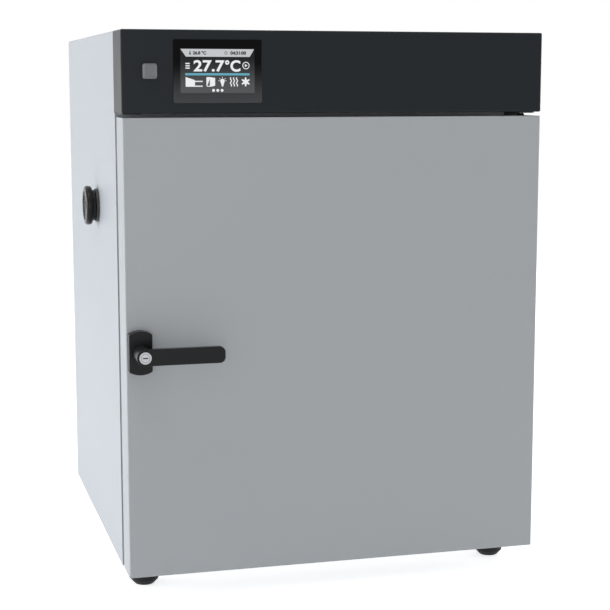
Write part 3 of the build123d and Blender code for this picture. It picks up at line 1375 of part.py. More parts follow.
NODES = {
    "casing": make_casing,
    "front_frame": make_front_frame,
    "base_pan": make_base_pan,
    "rear_bulkhead": make_rear_bulkhead,
    "service_deck": make_service_deck,
    "rear_cover": make_rear_cover,
    "insulation": make_insulation,
    "chamber_liner": make_chamber_liner,
    "rubber_feet": make_rubber_feet,
    "control_housing": make_control_housing,
    "display_glass": make_display_glass,
    "lcd_module": make_lcd_module,
    "control_board": make_control_board,
    "power_button": make_power_button,
    "button_switch": make_button_switch,
    "power_supply": make_power_supply,
    "mains_inlet": make_mains_inlet,
    "hinge_plate_upper": make_hinge_plate_upper,
    "hinge_plate_lower": make_hinge_plate_lower,
    "hinge_blanking_plate": make_hinge_blanking_plate,
    "hinge_pins": make_hinge_pins,
    "hinge_bushes": make_hinge_bushes,
    "door_skin": make_door_skin,
    "door_liner": make_door_liner,
    "door_insulation": make_door_insulation,
    "door_gasket": make_door_gasket,
    "handle_escutcheon": make_handle_escutcheon,
    "spindle_sleeve": make_spindle_sleeve,
    "handle_lever": make_handle_lever,
    "handle_spindle": make_handle_spindle,
    "latch_cam": make_latch_cam,
    "cam_screw": make_cam_screw,
    "lock_barrel": make_lock_barrel,
    "latch_keeper": make_latch_keeper,
    "port_tube": make_port_tube,
    "port_flange": make_port_flange,
    "port_plug": make_port_plug,
    "air_baffle": make_air_baffle,
    "circulation_heater": make_circulation_heater,
    "fan_motor": make_fan_motor,
    "shaft_bush": make_shaft_bush,
    "fan_shaft": make_fan_shaft,
    "fan_impeller": make_fan_impeller,
    "cold_sink": make_cold_sink,
    "hot_sink": make_hot_sink,
    "conduction_block": make_conduction_block,
    "thermoelectric_modules": make_thermoelectric_modules,
    "cooling_fan_frame": make_cooling_fan_frame,
    "cooling_fan_rotor": make_cooling_fan_rotor,
    "rack_uprights": make_rack_uprights,
    "shelf_runners": make_shelf_runners,
    "lamp_housing": make_lamp_housing,
    "lamp_lens": make_lamp_lens,
    "temperature_probe": make_temperature_probe,
}

for name, make in NODES.items():
    export_step(make(), f"parts/{name}.step")

export_step(make_shelf(LOWER_SHELF_SLOT_COUNT), "parts/shelf_lower.step")
export_step(make_shelf(UPPER_SHELF_SLOT_COUNT), "parts/shelf_upper.step")
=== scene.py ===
from math import atan2, cos, hypot, pi, radians, sin

import bmesh
import bpy
from mathutils import Matrix, Vector


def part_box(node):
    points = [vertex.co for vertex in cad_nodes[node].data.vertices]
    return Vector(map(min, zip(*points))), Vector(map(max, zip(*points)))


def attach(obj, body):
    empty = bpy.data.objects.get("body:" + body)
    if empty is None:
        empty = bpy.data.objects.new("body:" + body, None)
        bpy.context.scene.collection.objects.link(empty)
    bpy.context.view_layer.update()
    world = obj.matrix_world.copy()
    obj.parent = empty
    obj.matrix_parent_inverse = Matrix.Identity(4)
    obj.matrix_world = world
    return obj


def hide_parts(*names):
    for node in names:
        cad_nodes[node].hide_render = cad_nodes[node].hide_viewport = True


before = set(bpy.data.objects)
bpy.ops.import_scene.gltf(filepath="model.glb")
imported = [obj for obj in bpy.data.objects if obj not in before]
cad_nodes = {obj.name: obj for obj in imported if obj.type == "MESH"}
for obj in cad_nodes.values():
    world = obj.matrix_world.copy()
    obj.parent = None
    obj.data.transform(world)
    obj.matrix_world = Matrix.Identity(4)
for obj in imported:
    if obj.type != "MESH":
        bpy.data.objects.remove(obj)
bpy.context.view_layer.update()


# The camera stands to the left of the cabinet, level with its display, as in the photograph.
# Its place, turn and lens were fitted to the cabinet's straight edges in the photograph.
CAMERA_PLACE = (-0.6462, -2.5134, 0.7702)
CAMERA_TURN = radians(15.178)
CAMERA_DIP = radians(8.222)
CAMERA_LENS = 89.68

camera_data = bpy.data.cameras.new("camera")
camera_data.lens = CAMERA_LENS
camera_data.sensor_width = 36.0
camera_data.clip_end = 60.0
camera = bpy.data.objects.new("camera", camera_data)
camera.location = CAMERA_PLACE
camera.rotation_euler = (pi / 2 - CAMERA_DIP, 0.0, -CAMERA_TURN)
bpy.context.scene.collection.objects.link(camera)
bpy.context.scene.camera = camera
bpy.context.scene.view_settings.view_transform = "Standard"


# The studio is a plain white floor under an even white surround. A large soft lamp stands on the
# left, a weaker one in front, one behind, and two small ones above and on the right that light
# the rims and the gap over the door. Each has a place, a target, a side, a power and a colour.
SURROUND_LIGHT = 0.36
FLOOR_COLOUR = (0.93, 0.94, 0.95, 1.0)
FLOOR_GLOW = 0.72
FLOOR_SIDE = 30.0
LAMPS = {
    "left_lamp": ((-3.0, 0.35, 0.45), (0.0, 0.1, 0.25), 2.0, 55.0, (0.93, 0.96, 1.0)),
    "front_lamp": ((-0.9, -3.4, 0.35), (0.0, -0.3, 0.45), 1.6, 15.0, (1.0, 1.0, 1.0)),
    "rear_lamp": ((2.6, 2.6, 1.5), (0.0, 0.2, 0.45), 2.0, 30.0, (1.0, 1.0, 1.0)),
    "top_lamp": ((-0.9, -0.9, 2.9), (-0.2, -0.2, 0.6), 1.0, 9.0, (1.0, 1.0, 1.0)),
    "right_lamp": ((2.6, -0.62, 0.74), (0.3, -0.28, 0.726), 0.7, 14.0, (1.0, 1.0, 1.0)),
}


def feed(tree, socket, value):
    """Gives a socket a plain value, or links it to another node's output."""
    if isinstance(value, bpy.types.NodeSocket):
        tree.links.new(value, socket)
    else:
        socket.default_value = value


def add_node(tree, kind, inputs, **settings):
    """Outputs of a new shader node; its inputs are plain values or other nodes' outputs."""
    node = tree.nodes.new("ShaderNode" + kind)
    for setting, value in settings.items():
        setattr(node, setting, value)
    for key, value in inputs.items():
        feed(tree, node.inputs[key], value)
    return node.outputs


def math_result(tree, operation, *values):
    """Result of a math node on numbers or other nodes' outputs."""
    return add_node(tree, "Math", dict(enumerate(values)), operation=operation)[0]


def seen_directly(tree):
    """One for camera, glossy and transmission rays, and zero for light that bounces."""
    path = add_node(tree, "LightPath", {})
    either = math_result(tree, "MAXIMUM", path["Is Camera Ray"], path["Is Glossy Ray"])
    return math_result(tree, "MAXIMUM", either, path["Is Transmission Ray"])


def between(tree, mask, low, high):
    """Value that runs from low to high as the mask runs from zero to one."""
    return add_node(tree, "MapRange", {"Value": mask, "To Min": low, "To Max": high})["Result"]


def new_finish(name, colour, roughness, metallic=0.0, specular=0.5):
    """Material with plain shader values; gives back the material, its tree and its shader."""
    material = bpy.data.materials.new(name)
    material.use_nodes = True
    tree = material.node_tree
    shader = tree.nodes["Principled BSDF"]
    shader.inputs["Base Color"].default_value = colour
    shader.inputs["Roughness"].default_value = roughness
    shader.inputs["Metallic"].default_value = metallic
    shader.inputs["Specular IOR Level"].default_value = specular
    return material, tree, shader


def build_surround():
    """White surround that lights the object at a lower level than it shows."""
    world = bpy.data.worlds.new("surround")
    world.use_nodes = True
    tree = world.node_tree
    backdrop = tree.nodes["Background"]
    backdrop.inputs["Color"].default_value = (1.0, 1.0, 1.0, 1.0)
    strength = between(tree, seen_directly(tree), SURROUND_LIGHT, 1.0)
    tree.links.new(strength, backdrop.inputs["Strength"])
    bpy.context.scene.world = world


def build_floor():
    """Pale floor that keeps the shadow and otherwise shows as white."""
    mesh = bpy.data.meshes.new("floor")
    half = FLOOR_SIDE / 2
    corners = [(-half, -half, 0.0), (half, -half, 0.0), (half, half, 0.0), (-half, half, 0.0)]
    mesh.from_pydata(corners, [], [(0, 1, 2, 3)])
    floor = bpy.data.objects.new("floor", mesh)
    bpy.context.scene.collection.objects.link(floor)
    material, tree, shader = new_finish("floor", FLOOR_COLOUR, roughness=0.9, specular=0.0)
    strength = between(tree, seen_directly(tree), 0.0, FLOOR_GLOW)
    glow = add_node(tree, "Emission", {"Strength": strength})
    total = add_node(tree, "AddShader", {0: shader.outputs[0], 1: glow[0]})
    feed(tree, tree.nodes["Material Output"].inputs["Surface"], total[0])
    mesh.materials.append(material)


def add_lamp(name, place, target, size, power, colour):
    """Soft square lamp aimed at a target."""
    data = bpy.data.lights.new(name, "AREA")
    data.size = size
    data.energy = power
    data.color = colour
    lamp = bpy.data.objects.new(name, data)
    lamp.location = place
    aim = Vector(target) - Vector(place)
    lamp.rotation_euler = aim.to_track_quat("-Z", "Y").to_euler()
    bpy.context.scene.collection.objects.link(lamp)


build_surround()
build_floor()
for lamp_name, lamp_values in LAMPS.items():
    add_lamp(lamp_name, *lamp_values)


# The base pan, bulkhead and service deck are folded from zinc-coated sheet steel.
# They are the inner structure that the casing, the insulation and the works are fixed to.
ZINC_COLOUR = (0.50, 0.52, 0.54, 1.0)
ZINC_DARK = (0.38, 0.40, 0.42, 1.0)
SPANGLE_SCALE = 90.0
BEVEL_SAMPLES = 4


def new_group(name, inputs, outputs):
    """Empty node group from named input values and output names; gives it and its two ends."""
    group = bpy.data.node_groups.new(name, "ShaderNodeTree")
    for socket_name, value in inputs.items():
        kind = "NodeSocketVector" if isinstance(value, tuple) else "NodeSocketFloat"
        socket = group.interface.new_socket(socket_name, in_out="INPUT", socket_type=kind)
        socket.default_value = value
    for socket_name in outputs:
        group.interface.new_socket(socket_name, in_out="OUTPUT", socket_type="NodeSocketFloat")
    start = group.nodes.new("NodeGroupInput")
    end = group.nodes.new("NodeGroupOutput")
    return group, start.outputs, end.inputs


def place_group(tree, group, values):
    """Outputs of a node group that is placed in a material with its own values."""
    return add_node(tree, "Group", values, node_tree=group)


def object_place(tree):
    """Place of the shaded point on its piece."""
    return add_node(tree, "TexCoord", {})["Object"]


def noise_of(tree, place, scale, detail=2.0, **more):
    """Soft noise over a place, between zero and one."""
    inputs = {"Vector": place, "Scale": scale, "Detail": detail, **more}
    return add_node(tree, "TexNoise", inputs)["Fac"]


def blend_colours(tree, mask, first, second):
    """Colour that runs from first to second with the mask."""
    inputs = {0: mask, 6: first, 7: second}
    return add_node(tree, "Mix", inputs, data_type="RGBA", clamp_factor=True)[2]


def lay_finish(tree, shader, tone, height, depth, rounding=0.0, rough=None):
    """Links colour, roughness, and relief over edges that look slightly rounded."""
    feed(tree, shader.inputs["Base Color"], tone)
    if rough is not None:
        feed(tree, shader.inputs["Roughness"], rough)
    relief = {"Distance": depth, "Strength": 1.0, "Height": height}
    if rounding:
        edges = add_node(tree, "Bevel", {"Radius": rounding}, samples=BEVEL_SAMPLES)
        relief["Normal"] = edges["Normal"]
    feed(tree, shader.inputs["Normal"], add_node(tree, "Bump", relief)["Normal"])


def dress(node_name, material):
    """Gives a CAD node its finish."""
    data = cad_nodes[node_name].data
    data.materials.clear()
    data.materials.append(material)


def build_spangle_group():
    """Crystal pattern of hot-dip zinc: flat patches with slightly different tones."""
    group, start, end = new_group("zinc_spangle", {"Scale": 100.0}, ["Tone", "Height"])
    place = object_place(group)
    cells = add_node(group, "TexVoronoi", {"Vector": place, "Scale": start["Scale"]})
    split = add_node(group, "SeparateColor", {"Color": cells["Color"]})
    feed(group, end["Tone"], split["Red"])
    feed(group, end["Height"], noise_of(group, place, start["Scale"], detail=3.0))
    return group


zinc_spangle = build_spangle_group()


def make_zinc():
    """Zinc-coated sheet steel."""
    material, tree, shader = new_finish("zinc_coated_steel", ZINC_COLOUR, roughness=0.38, metallic=0.9)
    spangle = place_group(tree, zinc_spangle, {"Scale": SPANGLE_SCALE})
    tone = blend_colours(tree, spangle["Tone"], ZINC_DARK, ZINC_COLOUR)
    rough = between(tree, spangle["Tone"], 0.30, 0.46)
    lay_finish(tree, shader, tone, spangle["Height"], depth=0.00004, rounding=0.0006, rough=rough)
    return material


zinc_steel = make_zinc()
for zinc_node in ("base_pan", "rear_bulkhead", "service_deck"):
    dress(zinc_node, zinc_steel)


# Four black rubber feet with a tapered sole are screwed up into the base pan.
# They are moulded, with a fine matt skin, a rounded rim and a seat washer at the top.
FOOT_RADIUS = 0.022
FOOT_SOLE_RECESS = 0.0022
FOOT_SEGMENTS = 64
RUBBER_COLOUR = (0.008, 0.008, 0.0085, 1.0)
RUBBER_DUST = (0.030, 0.030, 0.029, 1.0)
MOULDING_SPREAD = 0.06
SHARP_ANGLE = radians(38)


def build_grain_group():
    """Fine pebbled skin with broad, faint patches."""
    group, start, end = new_group(
        "pebble_grain", {"Grain Scale": 900.0, "Patch Scale": 6.0}, ["Height", "Patches"]
    )
    place = object_place(group)
    for scale_name, output_name, detail in (
        ("Grain Scale", "Height", 2.0),
        ("Patch Scale", "Patches", 4.0),
    ):
        noise = noise_of(group, place, start[scale_name], detail, Roughness=0.55)
        feed(group, end[output_name], noise)
    return group


def build_dust_group():
    """Thin dust that settles on surfaces that look up, in soft clouds."""
    group, start, end = new_group("settled_dust", {"Amount": 0.5, "Scale": 12.0}, ["Dust"])
    facing = add_node(group, "NewGeometry", {})["Normal"]
    split = add_node(group, "SeparateXYZ", {"Vector": facing})
    upward = math_result(group, "MAXIMUM", split["Z"], 0.0)
    clouds = noise_of(group, object_place(group), start["Scale"], detail=5.0)
    settled = math_result(group, "MULTIPLY", upward, clouds)
    feed(group, end["Dust"], math_result(group, "MULTIPLY", settled, start["Amount"]))
    return group


pebble_grain = build_grain_group()
settled_dust = build_dust_group()


def make_moulding(name, colour, dusty, roughness, depth, grain, specular=0.4, rounding=0.0):
    """Moulded rubber or plastic with a fine grain and a little dust."""
    material, tree, shader = new_finish(name, colour, roughness, specular=specular)
    skin = place_group(tree, pebble_grain, {"Grain Scale": grain, "Patch Scale": 9.0})
    dust = place_group(tree, settled_dust, {"Amount": 0.5, "Scale": 20.0})
    tone = blend_colours(tree, dust["Dust"], colour, dusty)
    smoothest = roughness - MOULDING_SPREAD
    rough = between(tree, skin["Patches"], smoothest, roughness + MOULDING_SPREAD)
    lay_finish(tree, shader, tone, skin["Height"], depth, rounding, rough)
    return material


def new_piece(name, body, points, faces, material, smooth=True):
    """Mesh piece that rides on a body, with its faces turned outwards."""
    mesh = bpy.data.meshes.new(name)
    mesh.from_pydata(points, [], faces)
    shell = bmesh.new()
    shell.from_mesh(mesh)
    bmesh.ops.remove_doubles(shell, verts=shell.verts, dist=1e-7)
    bmesh.ops.recalc_face_normals(shell, faces=shell.faces)
    shell.to_mesh(mesh)
    shell.free()
    mesh.materials.append(material)
    if smooth:
        mesh.polygons.foreach_set("use_smooth", [True] * len(mesh.polygons))
        mesh.set_sharp_from_angle(angle=SHARP_ANGLE)
    piece = bpy.data.objects.new(name, mesh)
    bpy.context.scene.collection.objects.link(piece)
    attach(piece, body)
    return piece


def soften(piece, width, steps=3):
    """Rounds a piece's sharp edges by a width."""
    bevel = piece.modifiers.new("soft_edges", "BEVEL")
    bevel.width = width
    bevel.segments = steps
    bevel.limit_method = "ANGLE"
    bevel.angle_limit = SHARP_ANGLE
    bevel.harden_normals = True
    return piece


AXIS_TURNS = {
    "up": Matrix.Identity(3),
    "front": Matrix(((1, 0, 0), (0, 0, -1), (0, 1, 0))),
    "rear": Matrix(((-1, 0, 0), (0, 0, 1), (0, 1, 0))),
    "left": Matrix(((0, 0, -1), (-1, 0, 0), (0, 1, 0))),
}


def turned_piece(name, body, outline, places, facing, material, segments=72):
    """Lathe work: an outline of radius and height, turned about an axis at each place."""
    points = []
    faces = []
    turn = AXIS_TURNS[facing]
    for place in places:
        for step in range(segments):
            angle = 2 * pi * step / segments
            for radius, height in outline:
                local = Vector((radius * cos(angle), radius * sin(angle), height))
                points.append(Vector(place) + turn @ local)
        first = len(points) - segments * len(outline)
        for step in range(segments):
            here = first + step * len(outline)
            after = first + (step + 1) % segments * len(outline)
            for ring in range(len(outline) - 1):
                faces.append((here + ring, after + ring, after + ring + 1, here + ring + 1))
    return new_piece(name, body, points, faces, material)


black_rubber = make_moulding(
    "black_rubber", RUBBER_COLOUR, RUBBER_DUST,
    roughness=0.62, depth=0.00006, grain=1300.0, specular=0.35,
)
foot_low, foot_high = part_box("rubber_feet")
foot_xs = (foot_low.x + FOOT_RADIUS, foot_high.x - FOOT_RADIUS)
foot_ys = (foot_low.y + FOOT_RADIUS, foot_high.y - FOOT_RADIUS)
foot_top = foot_high.z
foot_outline = [
    (0.0, FOOT_SOLE_RECESS),
    (0.0045, FOOT_SOLE_RECESS),
    (0.0060, 0.0),
    (0.0142, 0.0),
    (0.0150, 0.0006),
    (FOOT_RADIUS - 0.0004, 0.0077),
    (FOOT_RADIUS, 0.0088),
    (FOOT_RADIUS, foot_top - 0.0056),
    (FOOT_RADIUS - 0.0006, foot_top - 0.0050),
    (FOOT_RADIUS - 0.0006, foot_top - 0.0044),
    (FOOT_RADIUS, foot_top - 0.0038),
    (FOOT_RADIUS, foot_top - 0.0006),
    (FOOT_RADIUS - 0.0006, foot_top),
    (0.0, foot_top),
]
foot_places = [(x, y, 0.0) for x in foot_xs for y in foot_ys]
feet = turned_piece(
    "moulded_feet", "cabinet", foot_outline, foot_places, "up", black_rubber, FOOT_SEGMENTS
)
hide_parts("rubber_feet")


# The casing is one sheet of steel folded over the cabinet, powder-coated in a cool light grey.
# The front frame and the rear cover have the same coat, which is finely pebbled and half matt.
COAT_COLOUR = (0.545, 0.575, 0.605, 1.0)
COAT_CLOUD = (0.515, 0.548, 0.580, 1.0)
COAT_DUST = (0.64, 0.64, 0.62, 1.0)
# The coat's edges are painted lighter in broken patches, as a painted highlight.
COAT_PAINTED_HIGHLIGHT = (0.66, 0.69, 0.72, 1.0)
HIGHLIGHT_STARTS = 0.98
HIGHLIGHT_FULL = 0.75


def vector_math(tree, operation, first, second):
    """Outputs of a vector math node on vectors or other nodes' outputs."""
    return add_node(tree, "VectorMath", {0: first, 1: second}, operation=operation)


def mask_over(tree, value, zero_at, one_at, interpolation="LINEAR"):
    """Mask that runs from zero to one as a value runs between two limits."""
    inputs = {"Value": value, "From Min": zero_at, "From Max": one_at}
    return add_node(tree, "MapRange", inputs, interpolation_type=interpolation)["Result"]


def build_edge_highlight_group():
    """Mask of the edges, broken by noise, where a coat gets a painted highlight."""
    group, start, end = new_group("edge_highlight", {"Reach": 0.002, "Scale": 60.0}, ["Worn"])
    rounded = add_node(group, "Bevel", {"Radius": start["Reach"]}, samples=BEVEL_SAMPLES)
    flat = add_node(group, "NewGeometry", {})
    match = vector_math(group, "DOT_PRODUCT", rounded["Normal"], flat["Normal"])
    edge = mask_over(group, match["Value"], HIGHLIGHT_STARTS, HIGHLIGHT_FULL)
    breaks = noise_of(group, object_place(group), start["Scale"])
    feed(group, end["Worn"], math_result(group, "MULTIPLY", edge, breaks))
    return group


edge_highlight = build_edge_highlight_group()


def make_coat(name, colour, cloud):
    """Powder coat on sheet steel."""
    material, tree, shader = new_finish(name, colour, roughness=0.42, specular=0.45)
    skin = place_group(tree, pebble_grain, {"Grain Scale": 1100.0, "Patch Scale": 3.0})
    dust = place_group(tree, settled_dust, {"Amount": 0.35, "Scale": 7.0})
    painted_edge_light = place_group(tree, edge_highlight, {"Reach": 0.0018, "Scale": 40.0})
    tone = blend_colours(tree, skin["Patches"], cloud, colour)
    # Painted highlight: a lighter tone of the coat along its edges.
    tone = blend_colours(tree, painted_edge_light["Worn"], tone, COAT_PAINTED_HIGHLIGHT)
    tone = blend_colours(tree, dust["Dust"], tone, COAT_DUST)
    rough = between(tree, skin["Patches"], 0.36, 0.50)
    lay_finish(tree, shader, tone, skin["Height"], depth=0.00003, rounding=0.0012, rough=rough)
    return material


grey_coat = make_coat("grey_powder_coat", COAT_COLOUR, COAT_CLOUD)
for coated_node in ("casing", "front_frame", "rear_cover"):
    dress(coated_node, grey_coat)


# Mineral wool slabs fill the walls between the casing and the chamber.
# The wool is a mat of fine yellow-brown fibres, laid along the slab.
WOOL_COLOUR = (0.48, 0.38, 0.16, 1.0)
WOOL_PALE = (0.68, 0.60, 0.34, 1.0)
WOOL_STRETCH = (120.0, 30.0, 700.0)


def make_wool():
    """Matted mineral wool."""
    material, tree, shader = new_finish("mineral_wool", WOOL_COLOUR, roughness=0.95, specular=0.1)
    place = vector_math(tree, "MULTIPLY", object_place(tree), WOOL_STRETCH)["Vector"]
    fibres = noise_of(tree, place, scale=1.0, detail=8.0, Distortion=2.0)
    tone = blend_colours(tree, fibres, WOOL_COLOUR, WOOL_PALE)
    lay_finish(tree, shader, tone, fibres, depth=0.0015)
    return material


dress("insulation", make_wool())


# The chamber is deep-drawn stainless steel with rounded corners, brushed level.
# The air baffle and the racks in it are of the same sheet brushed upright, the runners level.
STEEL_COLOUR = (0.60, 0.605, 0.61, 1.0)
STEEL_DARK = (0.50, 0.505, 0.515, 1.0)


def build_brush_group():
    """Fine parallel lines of a brushed sheet, with a few longer marks."""
    group, start, end = new_group(
        "brushed_lines", {"Stretch": (30.0, 30.0, 2500.0)}, ["Lines", "Marks"]
    )
    place = vector_math(group, "MULTIPLY", object_place(group), start["Stretch"])["Vector"]
    feed(group, end["Lines"], noise_of(group, place, scale=1.0, detail=3.0))
    feed(group, end["Marks"], noise_of(group, place, scale=0.22, detail=1.0))
    return group


brushed_lines = build_brush_group()


def make_brushed(name, light, dark, stretch, rounding=0.0006):
    """Brushed metal sheet with lines along one direction."""
    material, tree, shader = new_finish(name, light, roughness=0.30, metallic=1.0)
    lines = place_group(tree, brushed_lines, {"Stretch": stretch})
    tone = blend_colours(tree, lines["Marks"], dark, light)
    rough = between(tree, lines["Lines"], 0.22, 0.40)
    lay_finish(tree, shader, tone, lines["Lines"], depth=0.00001, rounding=rounding, rough=rough)
    return material


LEVEL_BRUSHING = (8.0, 8.0, 2200.0)
UPRIGHT_BRUSHING = (2200.0, 2200.0, 8.0)
level_steel = make_brushed("steel_brushed_level", STEEL_COLOUR, STEEL_DARK, LEVEL_BRUSHING)
upright_steel = make_brushed("steel_brushed_upright", STEEL_COLOUR, STEEL_DARK, UPRIGHT_BRUSHING)
dress("chamber_liner", level_steel)
dress("air_baffle", upright_steel)
dress("rack_uprights", upright_steel)
dress("shelf_runners", level_steel)


# The two shelves are slotted stainless sheet with folded rims.
# They share one finish, which is brushed from side to side.
SHELF_BRUSHING = (8.0, 2200.0, 2200.0)
shelf_steel = make_brushed("shelf_steel", STEEL_COLOUR, STEEL_DARK, SHELF_BRUSHING)
for shelf_node in ("shelf_lower", "shelf_upper"):
    dress(shelf_node, shelf_steel)


# A tubular heater runs round the fan wheel, and a probe reaches through the baffle.
# The heater's sheath has gone straw-coloured and blue with heat, in soft patches.
SHEATH_COLOUR = (0.42, 0.37, 0.29, 1.0)
SHEATH_BLUED = (0.22, 0.25, 0.34, 1.0)
MOTTLED_RELIEF = 0.00002


def make_mottled(name, colour, dark, light, roughness, grain, patch, rounding=0.0):
    """Steel that runs between two tones in patches, as heat or thin plating leaves it."""
    material, tree, shader = new_finish(name, colour, roughness, metallic=1.0)
    skin = place_group(tree, pebble_grain, {"Grain Scale": grain, "Patch Scale": patch})
    tone = blend_colours(tree, skin["Patches"], dark, light)
    lay_finish(tree, shader, tone, skin["Height"], MOTTLED_RELIEF, rounding)
    return material


heated_steel = make_mottled(
    "heat_tinted_steel", SHEATH_COLOUR, SHEATH_BLUED, SHEATH_COLOUR,
    roughness=0.34, grain=700.0, patch=22.0,
)
dress("circulation_heater", heated_steel)
dress("temperature_probe", upright_steel)


# The fan wheel is pressed aluminium on a ground steel shaft, in a brass bush.
# The motor behind the rear wall is a zinc-coated can.
ALUMINIUM_COLOUR = (0.66, 0.67, 0.68, 1.0)
ALUMINIUM_DARK = (0.55, 0.56, 0.57, 1.0)
BRASS_COLOUR = (0.62, 0.45, 0.18, 1.0)
BRASS_DARK = (0.45, 0.31, 0.12, 1.0)
aluminium = make_brushed("aluminium_sheet", ALUMINIUM_COLOUR, ALUMINIUM_DARK, LEVEL_BRUSHING)
turned_brass = make_brushed("turned_brass", BRASS_COLOUR, BRASS_DARK, SHELF_BRUSHING)
dress("fan_impeller", aluminium)
dress("fan_shaft", level_steel)
dress("shaft_bush", turned_brass)
dress("fan_motor", zinc_steel)


# The cooler joins a finned sink in the chamber to one in the service space.
# Block and sinks are extruded aluminium, with white ceramic modules between them.
CERAMIC_COLOUR = (0.78, 0.78, 0.76, 1.0)
CERAMIC_DUST = (0.66, 0.64, 0.60, 1.0)
extruded = make_brushed(
    "extruded_aluminium", ALUMINIUM_COLOUR, ALUMINIUM_DARK, UPRIGHT_BRUSHING, rounding=0.0003
)
for cooler_node in ("cold_sink", "hot_sink", "conduction_block"):
    dress(cooler_node, extruded)
ceramic = make_moulding(
    "white_ceramic", CERAMIC_COLOUR, CERAMIC_DUST, roughness=0.5, depth=0.00002, grain=1800.0
)
dress("thermoelectric_modules", ceramic)


# The cooling fan behind the rear grille is black glass-filled plastic.
# Its frame and rotor have a faint flow pattern and collect dust on top.
FAN_PLASTIC = (0.020, 0.020, 0.021, 1.0)
FAN_DUST = (0.16, 0.155, 0.145, 1.0)
fan_plastic = make_moulding(
    "fan_plastic", FAN_PLASTIC, FAN_DUST,
    roughness=0.48, depth=0.00004, grain=500.0, rounding=0.0005,
)
for fan_node in ("cooling_fan_frame", "cooling_fan_rotor"):
    dress(fan_node, fan_plastic)


# Flanged hexagon screws hold the rear cover to the folds of the casing.
# Each is zinc-plated steel with a pressed washer face, a cupped head and a softened rim.
COVER_SCREW_SIZE = (0.0035, 0.0056, 0.0020)
COVER_SCREW_INSET = 0.0086
COVER_SCREW_ROWS = 3
SCREW_GREY = (0.56, 0.57, 0.56, 1.0)
SCREW_DARK = (0.42, 0.43, 0.42, 1.0)
SCREW_LIGHT = (0.64, 0.65, 0.64, 1.0)


def screw_rings(head, flange, rise, sides=6, steps=8):
    """Rings of a flanged screw head, from its flange up to the cup in its hexagon."""
    count = sides * steps
    rings = []
    for radius, height, hexagonal in (
        (flange, 0.0, False),
        (flange, 0.12 * rise, False),
        (head * 1.12, 0.30 * rise, False),
        (head, 0.34 * rise, True),
        (head, 0.86 * rise, True),
        (head * 0.86, rise, False),
        (head * 0.70, rise, False),
        (head * 0.45, 0.80 * rise, False),
        (head * 0.02, 0.76 * rise, False),
    ):
        ring = []
        for step in range(count):
            angle = 2 * pi * step / count
            corner = pi / sides
            part = (angle % (2 * corner)) - corner
            reach = radius * cos(corner) / cos(part) if hexagonal else radius
            ring.append(Vector((reach * cos(angle), reach * sin(angle), height)))
        rings.append(ring)
    return rings


def ring_faces(first, count, rings, closed=False):
    """Faces between rings of points with the same count, numbered on from a first point."""
    faces = []
    for level in range(rings if closed else rings - 1):
        low = first + level * count
        high = first + (level + 1) % rings * count
        for step in range(count):
            after = (step + 1) % count
            faces.append((low + step, low + after, high + after, high + step))
    return faces


def screw_pieces(name, body, places, facing, size, material):
    """Flanged screw heads at the given places, as one piece; size is head, flange and rise."""
    points = []
    faces = []
    turn = AXIS_TURNS[facing]
    rings = screw_rings(*size)
    count = len(rings[0])
    for place in places:
        faces += ring_faces(len(points), count, len(rings))
        for ring in rings:
            points.extend(Vector(place) + turn @ point for point in ring)
        faces.append(tuple(range(len(points) - count, len(points))))
    return new_piece(name, body, points, faces, material)


screw_steel = make_mottled(
    "plated_screw_steel", SCREW_GREY, SCREW_DARK, SCREW_LIGHT,
    roughness=0.3, grain=1500.0, patch=300.0, rounding=0.0002,
)
cover_low, cover_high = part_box("rear_cover")
cover_screw_xs = (cover_low.x + COVER_SCREW_INSET, cover_high.x - COVER_SCREW_INSET)
cover_screw_low = cover_low.z + 2 * COVER_SCREW_INSET
cover_screw_pitch = (cover_high.z - cover_low.z - 4 * COVER_SCREW_INSET) / (COVER_SCREW_ROWS - 1)
cover_screw_places = [
    (x, cover_high.y, cover_screw_low + row * cover_screw_pitch)
    for x in cover_screw_xs
    for row in range(COVER_SCREW_ROWS)
]
cover_screws = screw_pieces(
    "rear_cover_screws", "cabinet", cover_screw_places, "rear", COVER_SCREW_SIZE, screw_steel
)


# The mains inlet is a black three-pin appliance inlet, let into the rear cover.
# Its pins are plated blades, shown as sleeves over the pins of the moulding.
PIN_SKIN = 0.00015
PIN_SIZE = (0.0020, 0.0040)
PIN_OFFSETS = ((-0.007, -0.002), (0.0, 0.002), (0.007, -0.002))
PIN_ROOT = 0.0021
PIN_TIP = 0.018
PIN_EDGE = 0.0004
INLET_BLACK = (0.018, 0.018, 0.019, 1.0)
INLET_DUST = (0.10, 0.10, 0.095, 1.0)
BOX_FACES = ((0, 1, 3, 2), (4, 6, 7, 5), (0, 4, 5, 1), (2, 3, 7, 6), (0, 2, 6, 4), (1, 5, 7, 3))
satin_black = make_moulding(
    "satin_black_plastic", INLET_BLACK, INLET_DUST,
    roughness=0.42, depth=0.00003, grain=1400.0, specular=0.45, rounding=0.0005,
)
dress("mains_inlet", satin_black)
inlet_low, inlet_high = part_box("mains_inlet")
inlet_middle = (inlet_low + inlet_high) / 2


def add_box(points, faces, x, y, z):
    """Adds a box between low and high limits to a list of points and faces."""
    first = len(points)
    faces.extend(tuple(first + corner for corner in face) for face in BOX_FACES)
    points.extend(Vector((a, b, c)) for a in x for b in y for c in z)


pin_points = []
pin_faces = []
pin_half_width = PIN_SIZE[0] / 2 + PIN_SKIN
pin_half_height = PIN_SIZE[1] / 2 + PIN_SKIN
for pin_x, pin_z in PIN_OFFSETS:
    middle_x = inlet_middle.x + pin_x
    middle_z = inlet_middle.z + pin_z
    add_box(
        pin_points, pin_faces,
        (middle_x - pin_half_width, middle_x + pin_half_width),
        (inlet_low.y + PIN_ROOT, inlet_low.y + PIN_TIP + PIN_SKIN),
        (middle_z - pin_half_height, middle_z + pin_half_height),
    )
inlet_pins = new_piece("inlet_pins", "cabinet", pin_points, pin_faces, screw_steel)
soften(inlet_pins, PIN_EDGE, steps=2)


